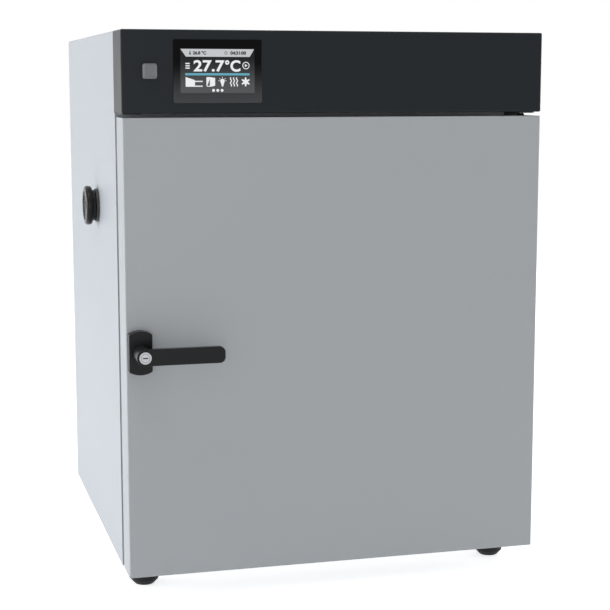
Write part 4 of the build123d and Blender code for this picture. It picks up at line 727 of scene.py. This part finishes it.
# The electronics stand in the bay behind the display: a power supply in a zinc-coated case,
# the display module, and the controller board with its posts and sockets.
BOARD_GREEN = (0.012, 0.085, 0.035, 1.0)
BOARD_TRACK = (0.035, 0.16, 0.07, 1.0)
BOARD_CELLS = 260.0


def make_board():
    """Solder mask over copper tracks, drawn as fine right-angled cells."""
    material, tree, shader = new_finish("circuit_board", BOARD_GREEN, roughness=0.35)
    inputs = {"Vector": object_place(tree), "Scale": BOARD_CELLS}
    tracks = add_node(tree, "TexVoronoi", inputs, distance="MANHATTAN")["Distance"]
    tone = blend_colours(tree, tracks, BOARD_GREEN, BOARD_TRACK)
    lay_finish(tree, shader, tone, tracks, depth=0.00004)
    return material


dress("power_supply", zinc_steel)
dress("lcd_module", satin_black)
dress("control_board", make_board())
dress("button_switch", satin_black)


# The lamp in the ceiling has a frosted cover over a white moulded body.
# The port's tube through the left wall is of the same white plastic.
WHITE_PLASTIC = (0.74, 0.74, 0.72, 1.0)
WHITE_DUST = (0.62, 0.61, 0.58, 1.0)
FROSTED_WHITE = (0.84, 0.85, 0.85, 1.0)
white_plastic = make_moulding(
    "white_moulding", WHITE_PLASTIC, WHITE_DUST,
    roughness=0.45, depth=0.00002, grain=1500.0, specular=0.45, rounding=0.0004,
)
frosted_cover = make_moulding(
    "frosted_cover", FROSTED_WHITE, WHITE_DUST,
    roughness=0.62, depth=0.00008, grain=900.0, specular=0.5, rounding=0.0008,
)
dress("lamp_housing", white_plastic)
dress("lamp_lens", frosted_cover)
dress("port_tube", white_plastic)


# The control housing spans the top of the front: a dark grey moulding with a fine satin skin.
# It has openings for the display and the power button.
HOUSING_COLOUR = (0.0120, 0.0168, 0.0215, 1.0)
HOUSING_DUST = (0.10, 0.10, 0.10, 1.0)
housing_plastic = make_moulding(
    "housing_plastic", HOUSING_COLOUR, HOUSING_DUST,
    roughness=0.34, depth=0.00001, grain=1500.0, specular=0.17,
)
dress("control_housing", housing_plastic)


# The display is a sheet of black-backed glass with rounded corners, proud of the housing.
# Its colour is painted black at the top and fades to dark grey lower down, a painted reflection of the
# pale floor.
GLASS_BLACK = (0.0015, 0.0016, 0.0018, 1.0)
GLASS_PAINTED_REFLECTION = (0.088, 0.090, 0.093, 1.0)
GLASS_REFLECTION_LOW = 0.004
GLASS_REFLECTION_HIGH = 0.030
glass_low, glass_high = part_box("display_glass")


def height_mask(tree, z_low, z_high):
    """Mask that is one at the lower height and zero at the upper."""
    height = add_node(tree, "SeparateXYZ", {"Vector": object_place(tree)})["Z"]
    return mask_over(tree, height, z_high, z_low, "SMOOTHSTEP")


def make_glass():
    """Black-backed cover glass with a faint film of finger marks, its colour painted lighter lower
    down as a painted reflection of the floor.
    """
    material, tree, shader = new_finish(
        "display_cover_glass", GLASS_BLACK, roughness=0.07, specular=0.07
    )
    # Painted reflection: the colour runs from black at the top to dark grey lower down.
    painted_reflection = height_mask(tree, glass_low.z - GLASS_REFLECTION_LOW, glass_high.z - GLASS_REFLECTION_HIGH)
    tone = blend_colours(tree, painted_reflection, GLASS_BLACK, GLASS_PAINTED_REFLECTION)
    marks = place_group(tree, pebble_grain, {"Grain Scale": 60.0, "Patch Scale": 35.0})
    rough = between(tree, marks["Patches"], 0.05, 0.16)
    lay_finish(tree, shader, tone, marks["Height"], depth=0.000002, rounding=0.0006, rough=rough)
    return material


dress("display_glass", make_glass())


# The lit picture lies just over the glass: a dark field, a status bar, the chamber temperature,
# a teal rule and a row of function signs. Each sign is a thin plate that glows. Its places are
# measured in metres from the lit field's lower left corner.
SCREEN_LAYER = 0.00006
PLATE_SHARE = 0.8
FIELD_LAYER = 1
SIGN_LAYER = 2
INK_LAYER = 3
FIELD_INSET = (0.0102, 0.0145)
FIELD_SIZE = (0.1098, 0.0630)
FIELD_REFLECTION_DROP = 0.008
FIELD_TOP = (0.010, 0.011, 0.012)
# The dark field's own glow fades to grey lower down, a painted reflection of the pale floor like the
# glass's.
FIELD_PAINTED_REFLECTION = (0.085, 0.087, 0.091)
SIGN_WHITE = (0.86, 0.87, 0.88)
BAR_GREY = (0.56, 0.575, 0.59)
RULE_TEAL = (0.13, 0.40, 0.50)
INK = (0.035, 0.037, 0.040)
DIMMED = 0.93
UNLIT = (0.0, 0.0, 0.0, 1.0)
field_left = glass_low.x + FIELD_INSET[0]
field_foot = glass_low.z + FIELD_INSET[1]


def make_glow(name, colour, reflection_colour=None):
    """Lit part of the display in an even colour; given a second colour, it fades down to it as a
    painted reflection.
    """
    material, tree, shader = new_finish(name, UNLIT, roughness=0.35, specular=0.1)
    shader.inputs["Emission Strength"].default_value = 1.0
    shader.inputs["Emission Color"].default_value = (*colour, 1.0)
    if reflection_colour:
        # Painted reflection: the glow is lighter towards the bottom of the field.
        painted_reflection = height_mask(tree, field_foot, field_foot + FIELD_SIZE[1] - FIELD_REFLECTION_DROP)
        tone = blend_colours(tree, painted_reflection, (*colour, 1.0), (*reflection_colour, 1.0))
    else:
        grid = place_group(tree, pebble_grain, {"Grain Scale": 4000.0, "Patch Scale": 90.0})
        dim = tuple(DIMMED * part for part in colour)
        tone = blend_colours(tree, grid["Patches"], (*dim, 1.0), (*colour, 1.0))
    feed(tree, shader.inputs["Emission Color"], tone)
    return material


def screen_point(x, z, layer):
    """Point on the display, at the front of a layer."""
    return Vector((field_left + x, glass_low.y - layer * SCREEN_LAYER, field_foot + z))


def sign_piece(name, outlines, layer, material):
    """Thin plates on the glass, one for each outline of width and height points."""
    points = []
    faces = []
    for outline in outlines:
        first = len(points)
        count = len(outline)
        for level in (layer, layer - PLATE_SHARE):
            points.extend(screen_point(x, z, level) for x, z in outline)
        faces.append(tuple(range(first, first + count)))
        faces.append(tuple(reversed(range(first + count, first + 2 * count))))
        faces += ring_faces(first, count, 2)
    piece = new_piece(name, "cabinet", points, faces, material, smooth=False)
    return piece


def rectangle(x, z):
    """Outline of a rectangle between low and high limits."""
    return [(x[0], z[0]), (x[1], z[0]), (x[1], z[1]), (x[0], z[1])]


def arc(middle, radius, start, end, steps=20):
    """Points on an arc between two angles in degrees."""
    angles = [radians(start + (end - start) * step / steps) for step in range(steps + 1)]
    return [(middle[0] + radius * cos(a), middle[1] + radius * sin(a)) for a in angles]


def ring_outlines(middle, outer, inner, steps=32):
    """A ring as two half rings, so that each is one outline."""
    halves = []
    for start in (0, 180):
        half = arc(middle, outer, start, start + 180, steps // 2)
        half += arc(middle, inner, start + 180, start, steps // 2)
        halves.append(half)
    return halves


def stroke(line, width):
    """Outline of a line of points with an even width."""
    left = []
    right = []
    for step, point in enumerate(line):
        before = line[max(step - 1, 0)]
        after = line[min(step + 1, len(line) - 1)]
        run = (after[0] - before[0], after[1] - before[1])
        length = hypot(*run)
        across = (-run[1] / length * width / 2, run[0] / length * width / 2)
        left.append((point[0] + across[0], point[1] + across[1]))
        right.append((point[0] - across[0], point[1] - across[1]))
    return left + right[::-1]


def lettering(name, words, x, z, layer, weight, material):
    """Figures on the display, fitted between limits of width and height."""
    curve = bpy.data.curves.new(name, "FONT")
    curve.body = words
    curve.offset = weight
    curve.resolution_u = 6
    draft = bpy.data.objects.new(name + "_draft", curve)
    bpy.context.scene.collection.objects.link(draft)
    bpy.context.view_layer.update()
    shape = bpy.data.meshes.new_from_object(draft)
    bpy.data.objects.remove(draft)
    lows = [min(v.co[axis] for v in shape.vertices) for axis in (0, 1)]
    highs = [max(v.co[axis] for v in shape.vertices) for axis in (0, 1)]
    points = []
    for vertex in shape.vertices:
        across = (vertex.co.x - lows[0]) / (highs[0] - lows[0])
        up = (vertex.co.y - lows[1]) / (highs[1] - lows[1])
        points.append(screen_point(x[0] + across * (x[1] - x[0]), z[0] + up * (z[1] - z[0]), layer))
    faces = [tuple(face.vertices) for face in shape.polygons]
    piece = new_piece(name, "cabinet", points, faces, material, smooth=False)
    return piece


glow_field = make_glow("screen_field", FIELD_TOP, FIELD_PAINTED_REFLECTION)
glow_white = make_glow("screen_white", SIGN_WHITE)
glow_bar = make_glow("screen_bar", BAR_GREY)
glow_teal = make_glow("screen_teal", RULE_TEAL)
glow_ink = make_glow("screen_ink", INK)

sign_piece(
    "screen_field", [rectangle((0.0, FIELD_SIZE[0]), (0.0, FIELD_SIZE[1]))], FIELD_LAYER, glow_field
)
status_bar = [(0.0003, 0.0631), (0.0083, 0.0520), (0.1027, 0.0520), (0.1092, 0.0631)]
sign_piece("screen_status_bar", [status_bar], SIGN_LAYER, glow_bar)
rule = rectangle((0.0070, 0.1023), (0.0253, 0.0285))
sign_piece("screen_rule", [rule], SIGN_LAYER, glow_teal)

FIGURE_Z = (0.0306, 0.0472)
DEGREE_Z = (0.0407, 0.0472)
SMALL_Z = (0.0550, 0.0601)
for figure_name, words, x, z, layer, weight, glow in (
    ("screen_temperature", "27.7", (0.0193, 0.0652), FIGURE_Z, SIGN_LAYER, 0.026, glow_white),
    ("screen_degree", "°", (0.0659, 0.0723), DEGREE_Z, SIGN_LAYER, 0.030, glow_white),
    ("screen_celsius", "C", (0.0738, 0.0887), FIGURE_Z, SIGN_LAYER, 0.030, glow_white),
    ("screen_set_value", "26.8 °C", (0.0184, 0.0382), SMALL_Z, INK_LAYER, 0.055, glow_ink),
    ("screen_timer", "04:31:00", (0.0738, 0.0974), SMALL_Z, INK_LAYER, 0.055, glow_ink),
):
    lettering(figure_name, words, x, z, layer, weight, glow)

thermometer = arc((0.0143, 0.0561), 0.0013, 130, 410, 18)
thermometer += arc((0.0143, 0.0599), 0.0006, 0, 180, 8)
sign_piece("screen_thermometer", [thermometer], INK_LAYER, glow_ink)
CLOCK = (0.0674, 0.0576)
HAND_WIDTH = 0.0005
clock_hands = stroke([(0.0674, 0.0591), CLOCK, (0.0687, 0.0569)], HAND_WIDTH)
clock_signs = ring_outlines(CLOCK, 0.0024, 0.0019) + [clock_hands]
sign_piece("screen_clock", clock_signs, INK_LAYER, glow_ink)

MENU_BAR = 0.0017
menu_bars = [rectangle((0.0075, 0.0137), (z, z + MENU_BAR)) for z in (0.0348, 0.0381, 0.0414)]
sign_piece("screen_menu", menu_bars, SIGN_LAYER, glow_white)
play_mark = [(0.0954, 0.0374), (0.0954, 0.0418), (0.0993, 0.0396)]
play_signs = ring_outlines((0.0970, 0.0396), 0.0053, 0.0042) + [play_mark]
sign_piece("screen_play", play_signs, SIGN_LAYER, glow_white)

profile_signs = [
    [(0.0075, 0.0097), (0.0212, 0.0097), (0.0212, 0.0182), (0.0190, 0.0193), (0.0075, 0.0229)],
    rectangle((0.0212, 0.0325), (0.0159, 0.0175)),
    rectangle((0.0212, 0.0325), (0.0090, 0.0106)),
    rectangle((0.0075, 0.0212), (0.0090, 0.0097)),
]
sign_piece("screen_profile", profile_signs, SIGN_LAYER, glow_white)

DOOR_STROKE = 0.0012
door_panel = [
    (0.0432, 0.0090), (0.0497, 0.0101), (0.0510, 0.0109), (0.0510, 0.0217), (0.0432, 0.0229)
]
door_line = [
    (0.0438, 0.0223), (0.0390, 0.0223), (0.0387, 0.0220),
    (0.0387, 0.0103), (0.0394, 0.0097), (0.0438, 0.0097),
]
sign_piece("screen_door", [door_panel, stroke(door_line, DOOR_STROKE)], SIGN_LAYER, glow_white)

BULB = (0.0619, 0.0172)
BULB_RADIUS = 0.0033
RAY_REACH = (0.0042, 0.0060)
RAY_WIDTH = 0.0008
bulb_glass = arc(BULB, BULB_RADIUS, -35, 215, 20)
bulb_glass += [(0.0604, 0.0115), (0.0609, 0.0093), (0.0629, 0.0093), (0.0634, 0.0115)]
bulb_rays = []
for turn in (5, 40, 90, 140, 175):
    across, up = cos(radians(turn)), sin(radians(turn))
    ray = [(BULB[0] + reach * across, BULB[1] + reach * up) for reach in RAY_REACH]
    bulb_rays.append(stroke(ray, RAY_WIDTH))
sign_piece("screen_lamp", [bulb_glass] + bulb_rays, SIGN_LAYER, glow_white)

WAVE_FOOT = 0.0095
WAVE_HEIGHT = 0.0129
WAVE_SWAY = 0.0009
WAVE_WIDTH = 0.0015
WAVE_STEPS = 22
heat_waves = []
for wave_x in (0.0745, 0.0790, 0.0835):
    wave = []
    for step in range(WAVE_STEPS + 1):
        part = step / WAVE_STEPS
        wave.append((wave_x + WAVE_SWAY * sin(4 * pi * part), WAVE_FOOT + WAVE_HEIGHT * part))
    heat_waves.append(stroke(wave, WAVE_WIDTH))
sign_piece("screen_heat", heat_waves, SIGN_LAYER, glow_white)

FLAKE = (0.0964, 0.0161)
FLAKE_TIP = 0.0066
FLAKE_NOTCH = 0.0036
FLAKE_ARM_TURN = 8
flake = []
for step in range(12):
    reach = FLAKE_TIP if step % 2 == 0 else FLAKE_NOTCH
    for offset in (-FLAKE_ARM_TURN, FLAKE_ARM_TURN):
        angle = radians(90 + 30 * step + offset)
        flake.append((FLAKE[0] + reach * cos(angle), FLAKE[1] + reach * sin(angle)))
sign_piece("screen_cold", [flake], SIGN_LAYER, glow_white)

DOT_RADIUS = 0.0021
page_dots = [arc((x, 0.0038), DOT_RADIUS, 0, 345, 23) for x in (0.0485, 0.0548, 0.0612)]
sign_piece("screen_pages", page_dots, SIGN_LAYER, glow_white)


# The power button is a square grey push cap with a wide bevel and a slightly dished face.
# It stands out of the housing on the left of the display.
BUTTON_GREY = (0.215, 0.222, 0.232, 1.0)
BUTTON_DUST = (0.20, 0.20, 0.20, 1.0)
BUTTON_BEVEL = 0.0019
BUTTON_DISH = 0.0005
BUTTON_CORNER = 0.0035
BUTTON_CORNER_TAPER = 0.7
BUTTON_HIDDEN_DEPTH = 0.0155
button_low, button_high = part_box("power_button")


def rounded_outline(half_x, half_z, radius, steps=7):
    """Points round a rectangle with rounded corners, about its middle."""
    points = []
    for index, (side_x, side_z) in enumerate(((1, 1), (-1, 1), (-1, -1), (1, -1))):
        middle = (side_x * (half_x - radius), side_z * (half_z - radius))
        points += arc(middle, radius, 90 * index, 90 * index + 90, steps)
    return points


def stacked_piece(name, body, rings, material):
    """Piece built of like-numbered rings of points, closed at both ends."""
    count = len(rings[0])
    points = [point for ring in rings for point in ring]
    faces = [tuple(range(count)), tuple(range(len(points) - count, len(points)))]
    faces += ring_faces(0, count, len(rings))
    return new_piece(name, body, points, faces, material)


def button_rings():
    """Rings of the cap from its hidden back to the dished face."""
    middle_x = (button_low.x + button_high.x) / 2
    middle_z = (button_low.z + button_high.z) / 2
    half_x = (button_high.x - button_low.x) / 2
    half_z = (button_high.z - button_low.z) / 2
    front = button_low.y
    rings = []
    for inset, depth in (
        (0.0, BUTTON_HIDDEN_DEPTH),
        (0.0, BUTTON_BEVEL + 0.0004),
        (0.0003, BUTTON_BEVEL),
        (BUTTON_BEVEL - 0.0002, 0.0002),
        (BUTTON_BEVEL + 0.0002, 0.0),
        (BUTTON_BEVEL + 0.0006, 0.0002),
        (BUTTON_BEVEL + 0.0012, BUTTON_DISH),
    ):
        corner = BUTTON_CORNER - BUTTON_CORNER_TAPER * inset
        outline = rounded_outline(half_x - inset, half_z - inset, corner)
        rings.append([Vector((middle_x + x, front + depth, middle_z + z)) for x, z in outline])
    return rings


button_plastic = make_moulding(
    "button_plastic", BUTTON_GREY, BUTTON_DUST, roughness=0.45, depth=0.00002, grain=1500.0
)
button_cap = stacked_piece("button_cap", "power_button", button_rings(), button_plastic)
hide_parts("power_button")


# The hinge plates are black-coated steel angles with a steel pin pressed into each.
# Two flanged screws hold each leg to the front frame.
HINGE_BLACK = (0.016, 0.016, 0.017, 1.0)
HINGE_DUST = (0.08, 0.08, 0.078, 1.0)
HINGE_SCREW_SIZE = (0.0026, 0.0036, 0.0016)
HINGE_SCREW_SHARES = (0.28, 0.72)
STRIP_THICKNESS = 0.002
hinge_black = make_moulding(
    "hinge_black_coat", HINGE_BLACK, HINGE_DUST,
    roughness=0.40, depth=0.00003, grain=1000.0, specular=0.45, rounding=0.0005,
)
for hinge_node in ("hinge_plate_upper", "hinge_plate_lower", "hinge_blanking_plate"):
    dress(hinge_node, hinge_black)
dress("hinge_pins", upright_steel)
dress("hinge_bushes", satin_black)
frame_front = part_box("front_frame")[0].y
strip_front = frame_front - STRIP_THICKNESS
hinge_screw_places = []
for hinge_node in ("hinge_plate_upper", "hinge_plate_lower"):
    hinge_low, hinge_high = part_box(hinge_node)
    leg_z = (hinge_low.z + hinge_high.z) / 2
    for share in HINGE_SCREW_SHARES:
        screw_x = hinge_low.x + share * (hinge_high.x - hinge_low.x)
        hinge_screw_places.append((screw_x, strip_front, leg_z))
hinge_screws = screw_pieces(
    "hinge_screws", "cabinet", hinge_screw_places, "front", HINGE_SCREW_SIZE, screw_steel
)


# The door is a folded steel pan with the same kind of coat as the casing, its colours made a little
# darker as painted shade.
# Its inner face is a stainless sheet with a raised field, over a slab of pale rigid foam.
DOOR_COAT_WITH_PAINTED_SHADE = (0.525, 0.552, 0.575, 1.0)
DOOR_CLOUD_WITH_PAINTED_SHADE = (0.505, 0.532, 0.556, 1.0)
FOAM_COLOUR = (0.70, 0.66, 0.50, 1.0)
FOAM_DUST = (0.60, 0.55, 0.40, 1.0)
dress("door_skin", make_coat("door_powder_coat_painted_shade", DOOR_COAT_WITH_PAINTED_SHADE, DOOR_CLOUD_WITH_PAINTED_SHADE))
dress("door_liner", level_steel)
foam = make_moulding(
    "rigid_foam", FOAM_COLOUR, FOAM_DUST, roughness=0.9, depth=0.0004, grain=350.0, specular=0.1
)
dress("door_insulation", foam)


# The door seal is soft grey rubber, extruded with a bellows and welded at the corners.
# Its flat base is clamped to the door, and its rounded face meets the front frame.
SEAL_GREY = (0.145, 0.150, 0.155, 1.0)
SEAL_DUST = (0.28, 0.28, 0.27, 1.0)
SEAL_CORNER = 0.010
SEAL_CORNER_TAPER = 0.25
SEAL_LEAST_CORNER = 0.002
SEAL_SECTION = (
    (0.0000, 0.0), (0.0000, 0.0030), (0.0012, 0.0040), (0.0052, 0.0042), (0.0044, 0.0058),
    (0.0056, 0.0074), (0.0044, 0.0092), (0.0046, 0.0114), (0.0060, 0.0126), (0.0110, 0.0129),
    (0.0130, 0.0129), (0.0180, 0.0126), (0.0194, 0.0114), (0.0196, 0.0092), (0.0184, 0.0074),
    (0.0196, 0.0058), (0.0188, 0.0042), (0.0228, 0.0040), (0.0240, 0.0030), (0.0240, 0.0),
)
seal_low, seal_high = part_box("door_gasket")


def seal_mesh():
    """Points and faces of the seal's section carried round its rounded rectangle."""
    middle = (seal_low + seal_high) / 2
    half_x = (seal_high.x - seal_low.x) / 2
    half_z = (seal_high.z - seal_low.z) / 2
    points = []
    for inset, rise in SEAL_SECTION:
        corner = max(SEAL_CORNER - SEAL_CORNER_TAPER * inset, SEAL_LEAST_CORNER)
        outline = rounded_outline(half_x - inset, half_z - inset, corner, steps=8)
        points += [Vector((middle.x + x, seal_low.y + rise, middle.z + z)) for x, z in outline]
    return points, ring_faces(0, len(outline), len(SEAL_SECTION), closed=True)


seal_rubber = make_moulding(
    "grey_seal_rubber", SEAL_GREY, SEAL_DUST,
    roughness=0.6, depth=0.00005, grain=900.0, specular=0.35,
)
door_seal = new_piece("bellows_seal", "door", *seal_mesh(), seal_rubber)
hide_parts("door_gasket")


# The handle stands on a black shield, a round plate with its two sides cut straight.
# The shield is glass-filled plastic with a rounded rim, screwed on from behind.
HANDLE_BLACK = (0.0058, 0.0066, 0.0074, 1.0)
HANDLE_DUST = (0.030, 0.030, 0.030, 1.0)
SHIELD_RIM = 0.0022
handle_plastic = make_moulding(
    "handle_black_plastic", HANDLE_BLACK, HANDLE_DUST,
    roughness=0.30, depth=0.00001, grain=1300.0, specular=0.20,
)
shield_low, shield_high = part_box("handle_escutcheon")
shield_middle = (shield_low + shield_high) / 2


def plate_piece(name, body, outline, y_front, y_back, material):
    """Plate cut to an outline of width and height points, between two depths."""
    rings = [[Vector((x, y, z)) for x, z in outline] for y in (y_front, y_back)]
    return stacked_piece(name, body, rings, material)


def shield_outline():
    """Disc of the shield's height, cut by upright sides at its width."""
    radius = (shield_high.z - shield_low.z) / 2
    half = (shield_high.x - shield_low.x) / 2
    cut = 90 - 180 / pi * atan2(half, (radius**2 - half**2) ** 0.5)
    middle = (shield_middle.x, shield_middle.z)
    return arc(middle, radius, cut, 180 - cut, 26) + arc(middle, radius, 180 + cut, 360 - cut, 26)


shield = plate_piece(
    "handle_shield", "door", shield_outline(), shield_low.y, shield_high.y, handle_plastic
)
soften(shield, SHIELD_RIM, steps=5)
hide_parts("handle_escutcheon")


# The lever is a flat black bar on a round neck, and the lock sits in its hub.
# Bar and neck are one moulding with small rounded edges and a groove at the shield.
LEVER_HALF = 0.0121
LEVER_THICKNESS = 0.0105
LEVER_TIP_RADIUS = 0.0085
LEVER_EDGE = 0.0013
LEVER_OVERLAP = 0.002
lever_low, lever_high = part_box("handle_lever")
hub = (lever_low.x + LEVER_HALF, (lever_low.z + lever_high.z) / 2)


def lever_outline():
    """Half round at the hub, straight sides and two rounded corners at the tip."""
    tip = lever_high.x - LEVER_TIP_RADIUS
    reach = LEVER_HALF - LEVER_TIP_RADIUS
    outline = arc(hub, LEVER_HALF, 90, 270, 40)
    outline += arc((tip, hub[1] - reach), LEVER_TIP_RADIUS, 270, 360, 14)
    outline += arc((tip, hub[1] + reach), LEVER_TIP_RADIUS, 0, 90, 14)
    return outline


lever_bar = plate_piece(
    "lever_bar", "handle", lever_outline(),
    lever_low.y, lever_low.y + LEVER_THICKNESS, handle_plastic,
)
soften(lever_bar, LEVER_EDGE, steps=4)
neck_radius = LEVER_HALF - 0.0002
groove_radius = LEVER_HALF - 0.0010
neck_top = lever_high.y - lever_low.y - LEVER_THICKNESS + LEVER_OVERLAP
neck_outline = [
    (0.0, neck_top),
    (neck_radius, neck_top),
    (neck_radius, 0.0030),
    (groove_radius, 0.0026),
    (groove_radius, 0.0018),
    (neck_radius, 0.0014),
    (neck_radius, 0.0004),
    (LEVER_HALF - 0.0006, 0.0),
    (0.0, 0.0),
]
lever_neck = turned_piece(
    "lever_neck", "handle", neck_outline, [(hub[0], lever_high.y, hub[1])], "front", handle_plastic
)
for lever_piece in (lever_bar, lever_neck):
    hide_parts("handle_lever")


# The lock's barrel shows as a bright satin disc in the hub: an outer ring and a key plug.
# It is nickel-plated brass with a fine level grain and a level keyway.
LOCK_COLOUR = (0.43, 0.44, 0.45, 1.0)
LOCK_DARK = (0.36, 0.37, 0.38, 1.0)
PLUG_RADIUS = 0.0063
PLUG_GROOVE = 0.00022
# The dark line round the key plug is painted shade in the gap between plug and ring.
PLUG_GAP_PAINTED_SHADE = (0.045, 0.045, 0.047, 1.0)
lock_low, lock_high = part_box("lock_barrel")
lock_middle = (lock_low + lock_high) / 2


def make_lock_finish():
    """Brushed nickel with a dark line of painted shade where the key plug meets the outer ring."""
    material, tree, shader = new_finish("faced_nickel", LOCK_COLOUR, roughness=0.34, metallic=1.0)
    flat = vector_math(tree, "MULTIPLY", object_place(tree), (1.0, 0.0, 1.0))
    axis = (lock_middle.x, 0.0, lock_middle.z)
    reach = vector_math(tree, "DISTANCE", flat["Vector"], axis)["Value"]
    painted_gap_shade = math_result(tree, "COMPARE", reach, PLUG_RADIUS, PLUG_GROOVE)
    lines = place_group(tree, brushed_lines, {"Stretch": LEVEL_BRUSHING})
    tone = blend_colours(tree, lines["Marks"], LOCK_DARK, LOCK_COLOUR)
    tone = blend_colours(tree, painted_gap_shade, tone, PLUG_GAP_PAINTED_SHADE)
    rough = between(tree, lines["Lines"], 0.26, 0.42)
    lay_finish(tree, shader, tone, lines["Lines"], depth=0.00001, rounding=0.0002, rough=rough)
    return material


dress("lock_barrel", make_lock_finish())


# The spindle, its sleeve, the cam and the cam's screw join the lever to the latch.
# The keeper is a bent stainless strip on the front frame, held by two screws.
KEEPER_SCREW_DROPS = (0.005, 0.014)
dress("handle_spindle", level_steel)
dress("spindle_sleeve", turned_brass)
dress("latch_cam", zinc_steel)
dress("cam_screw", screw_steel)
dress("latch_keeper", level_steel)
keeper_low, keeper_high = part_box("latch_keeper")
keeper_x = (keeper_low.x + keeper_high.x) / 2
keeper_screw_places = [
    (keeper_x, strip_front, keeper_high.z - drop) for drop in KEEPER_SCREW_DROPS
]
keeper_screws = screw_pieces(
    "keeper_screws", "cabinet", keeper_screw_places, "front", HINGE_SCREW_SIZE, screw_steel
)


# The access port on the left wall has a black plastic ring and a rubber plug.
# The plug has a thick round head with a soft rim, a dished face and a raised middle.
PLUG_BLACK = (0.010, 0.0105, 0.011, 1.0)
PORT_RING_BORE = 0.0181
PLUG_HEAD = 0.0162
PLUG_STEM_RADIUS = 0.0148
PLUG_COLLAR_RADIUS = 0.0250
PLUG_DISH_RADIUS = 0.0244
port_low, port_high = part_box("port_flange")
port_middle = (port_low + port_high) / 2
port_radius = (port_high.y - port_low.y) / 2
port_depth = port_high.x - port_low.x
port_ring_outline = [
    (PORT_RING_BORE, 0.0),
    (port_radius, 0.0),
    (port_radius, port_depth - 0.0014),
    (port_radius - 0.0005, port_depth - 0.0004),
    (port_radius - 0.0014, port_depth),
    (PORT_RING_BORE, port_depth),
]
port_ring = turned_piece(
    "port_ring", "cabinet", port_ring_outline,
    [(port_high.x, port_middle.y, port_middle.z)], "left", satin_black, segments=96,
)
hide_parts("port_flange")
plug_low, plug_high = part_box("port_plug")
plug_radius = (plug_high.z - plug_low.z) / 2
plug_tail = plug_low.x - plug_high.x + PLUG_HEAD
plug_outline = [
    (0.0, plug_tail),
    (PLUG_STEM_RADIUS - 0.0013, plug_tail),
    (PLUG_STEM_RADIUS, plug_tail + 0.0014),
    (PLUG_STEM_RADIUS, 0.0),
    (PLUG_COLLAR_RADIUS - 0.0006, 0.0),
    (PLUG_COLLAR_RADIUS, 0.0006),
    (PLUG_COLLAR_RADIUS, 0.0048),
    (PLUG_COLLAR_RADIUS + 0.0006, 0.0052),
    (plug_radius - 0.0032, 0.0052),
    (plug_radius - 0.0014, 0.0058),
    (plug_radius - 0.0003, 0.0073),
    (plug_radius, 0.0092),
    (plug_radius, 0.0122),
    (plug_radius - 0.0004, 0.0141),
    (plug_radius - 0.0016, 0.0156),
    (plug_radius - 0.0034, PLUG_HEAD),
    (PLUG_DISH_RADIUS, PLUG_HEAD),
    (PLUG_DISH_RADIUS - 0.0012, 0.0157),
    (PLUG_DISH_RADIUS - 0.0020, 0.0148),
    (0.0196, 0.0146),
    (0.0190, 0.0152),
    (0.0182, 0.0152),
    (0.0176, 0.0146),
    (0.0060, 0.0144),
    (0.0052, 0.0150),
    (0.0, 0.0151),
]
plug_places = [(plug_low.x + PLUG_HEAD, port_middle.y, port_middle.z)]
plug_rubber = make_moulding(
    "plug_rubber", PLUG_BLACK, RUBBER_DUST,
    roughness=0.24, depth=0.00001, grain=1300.0, specular=0.20,
)
port_plug = turned_piece(
    "moulded_plug", "port_plug", plug_outline, plug_places, "left", plug_rubber, segments=128
)
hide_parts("port_plug")
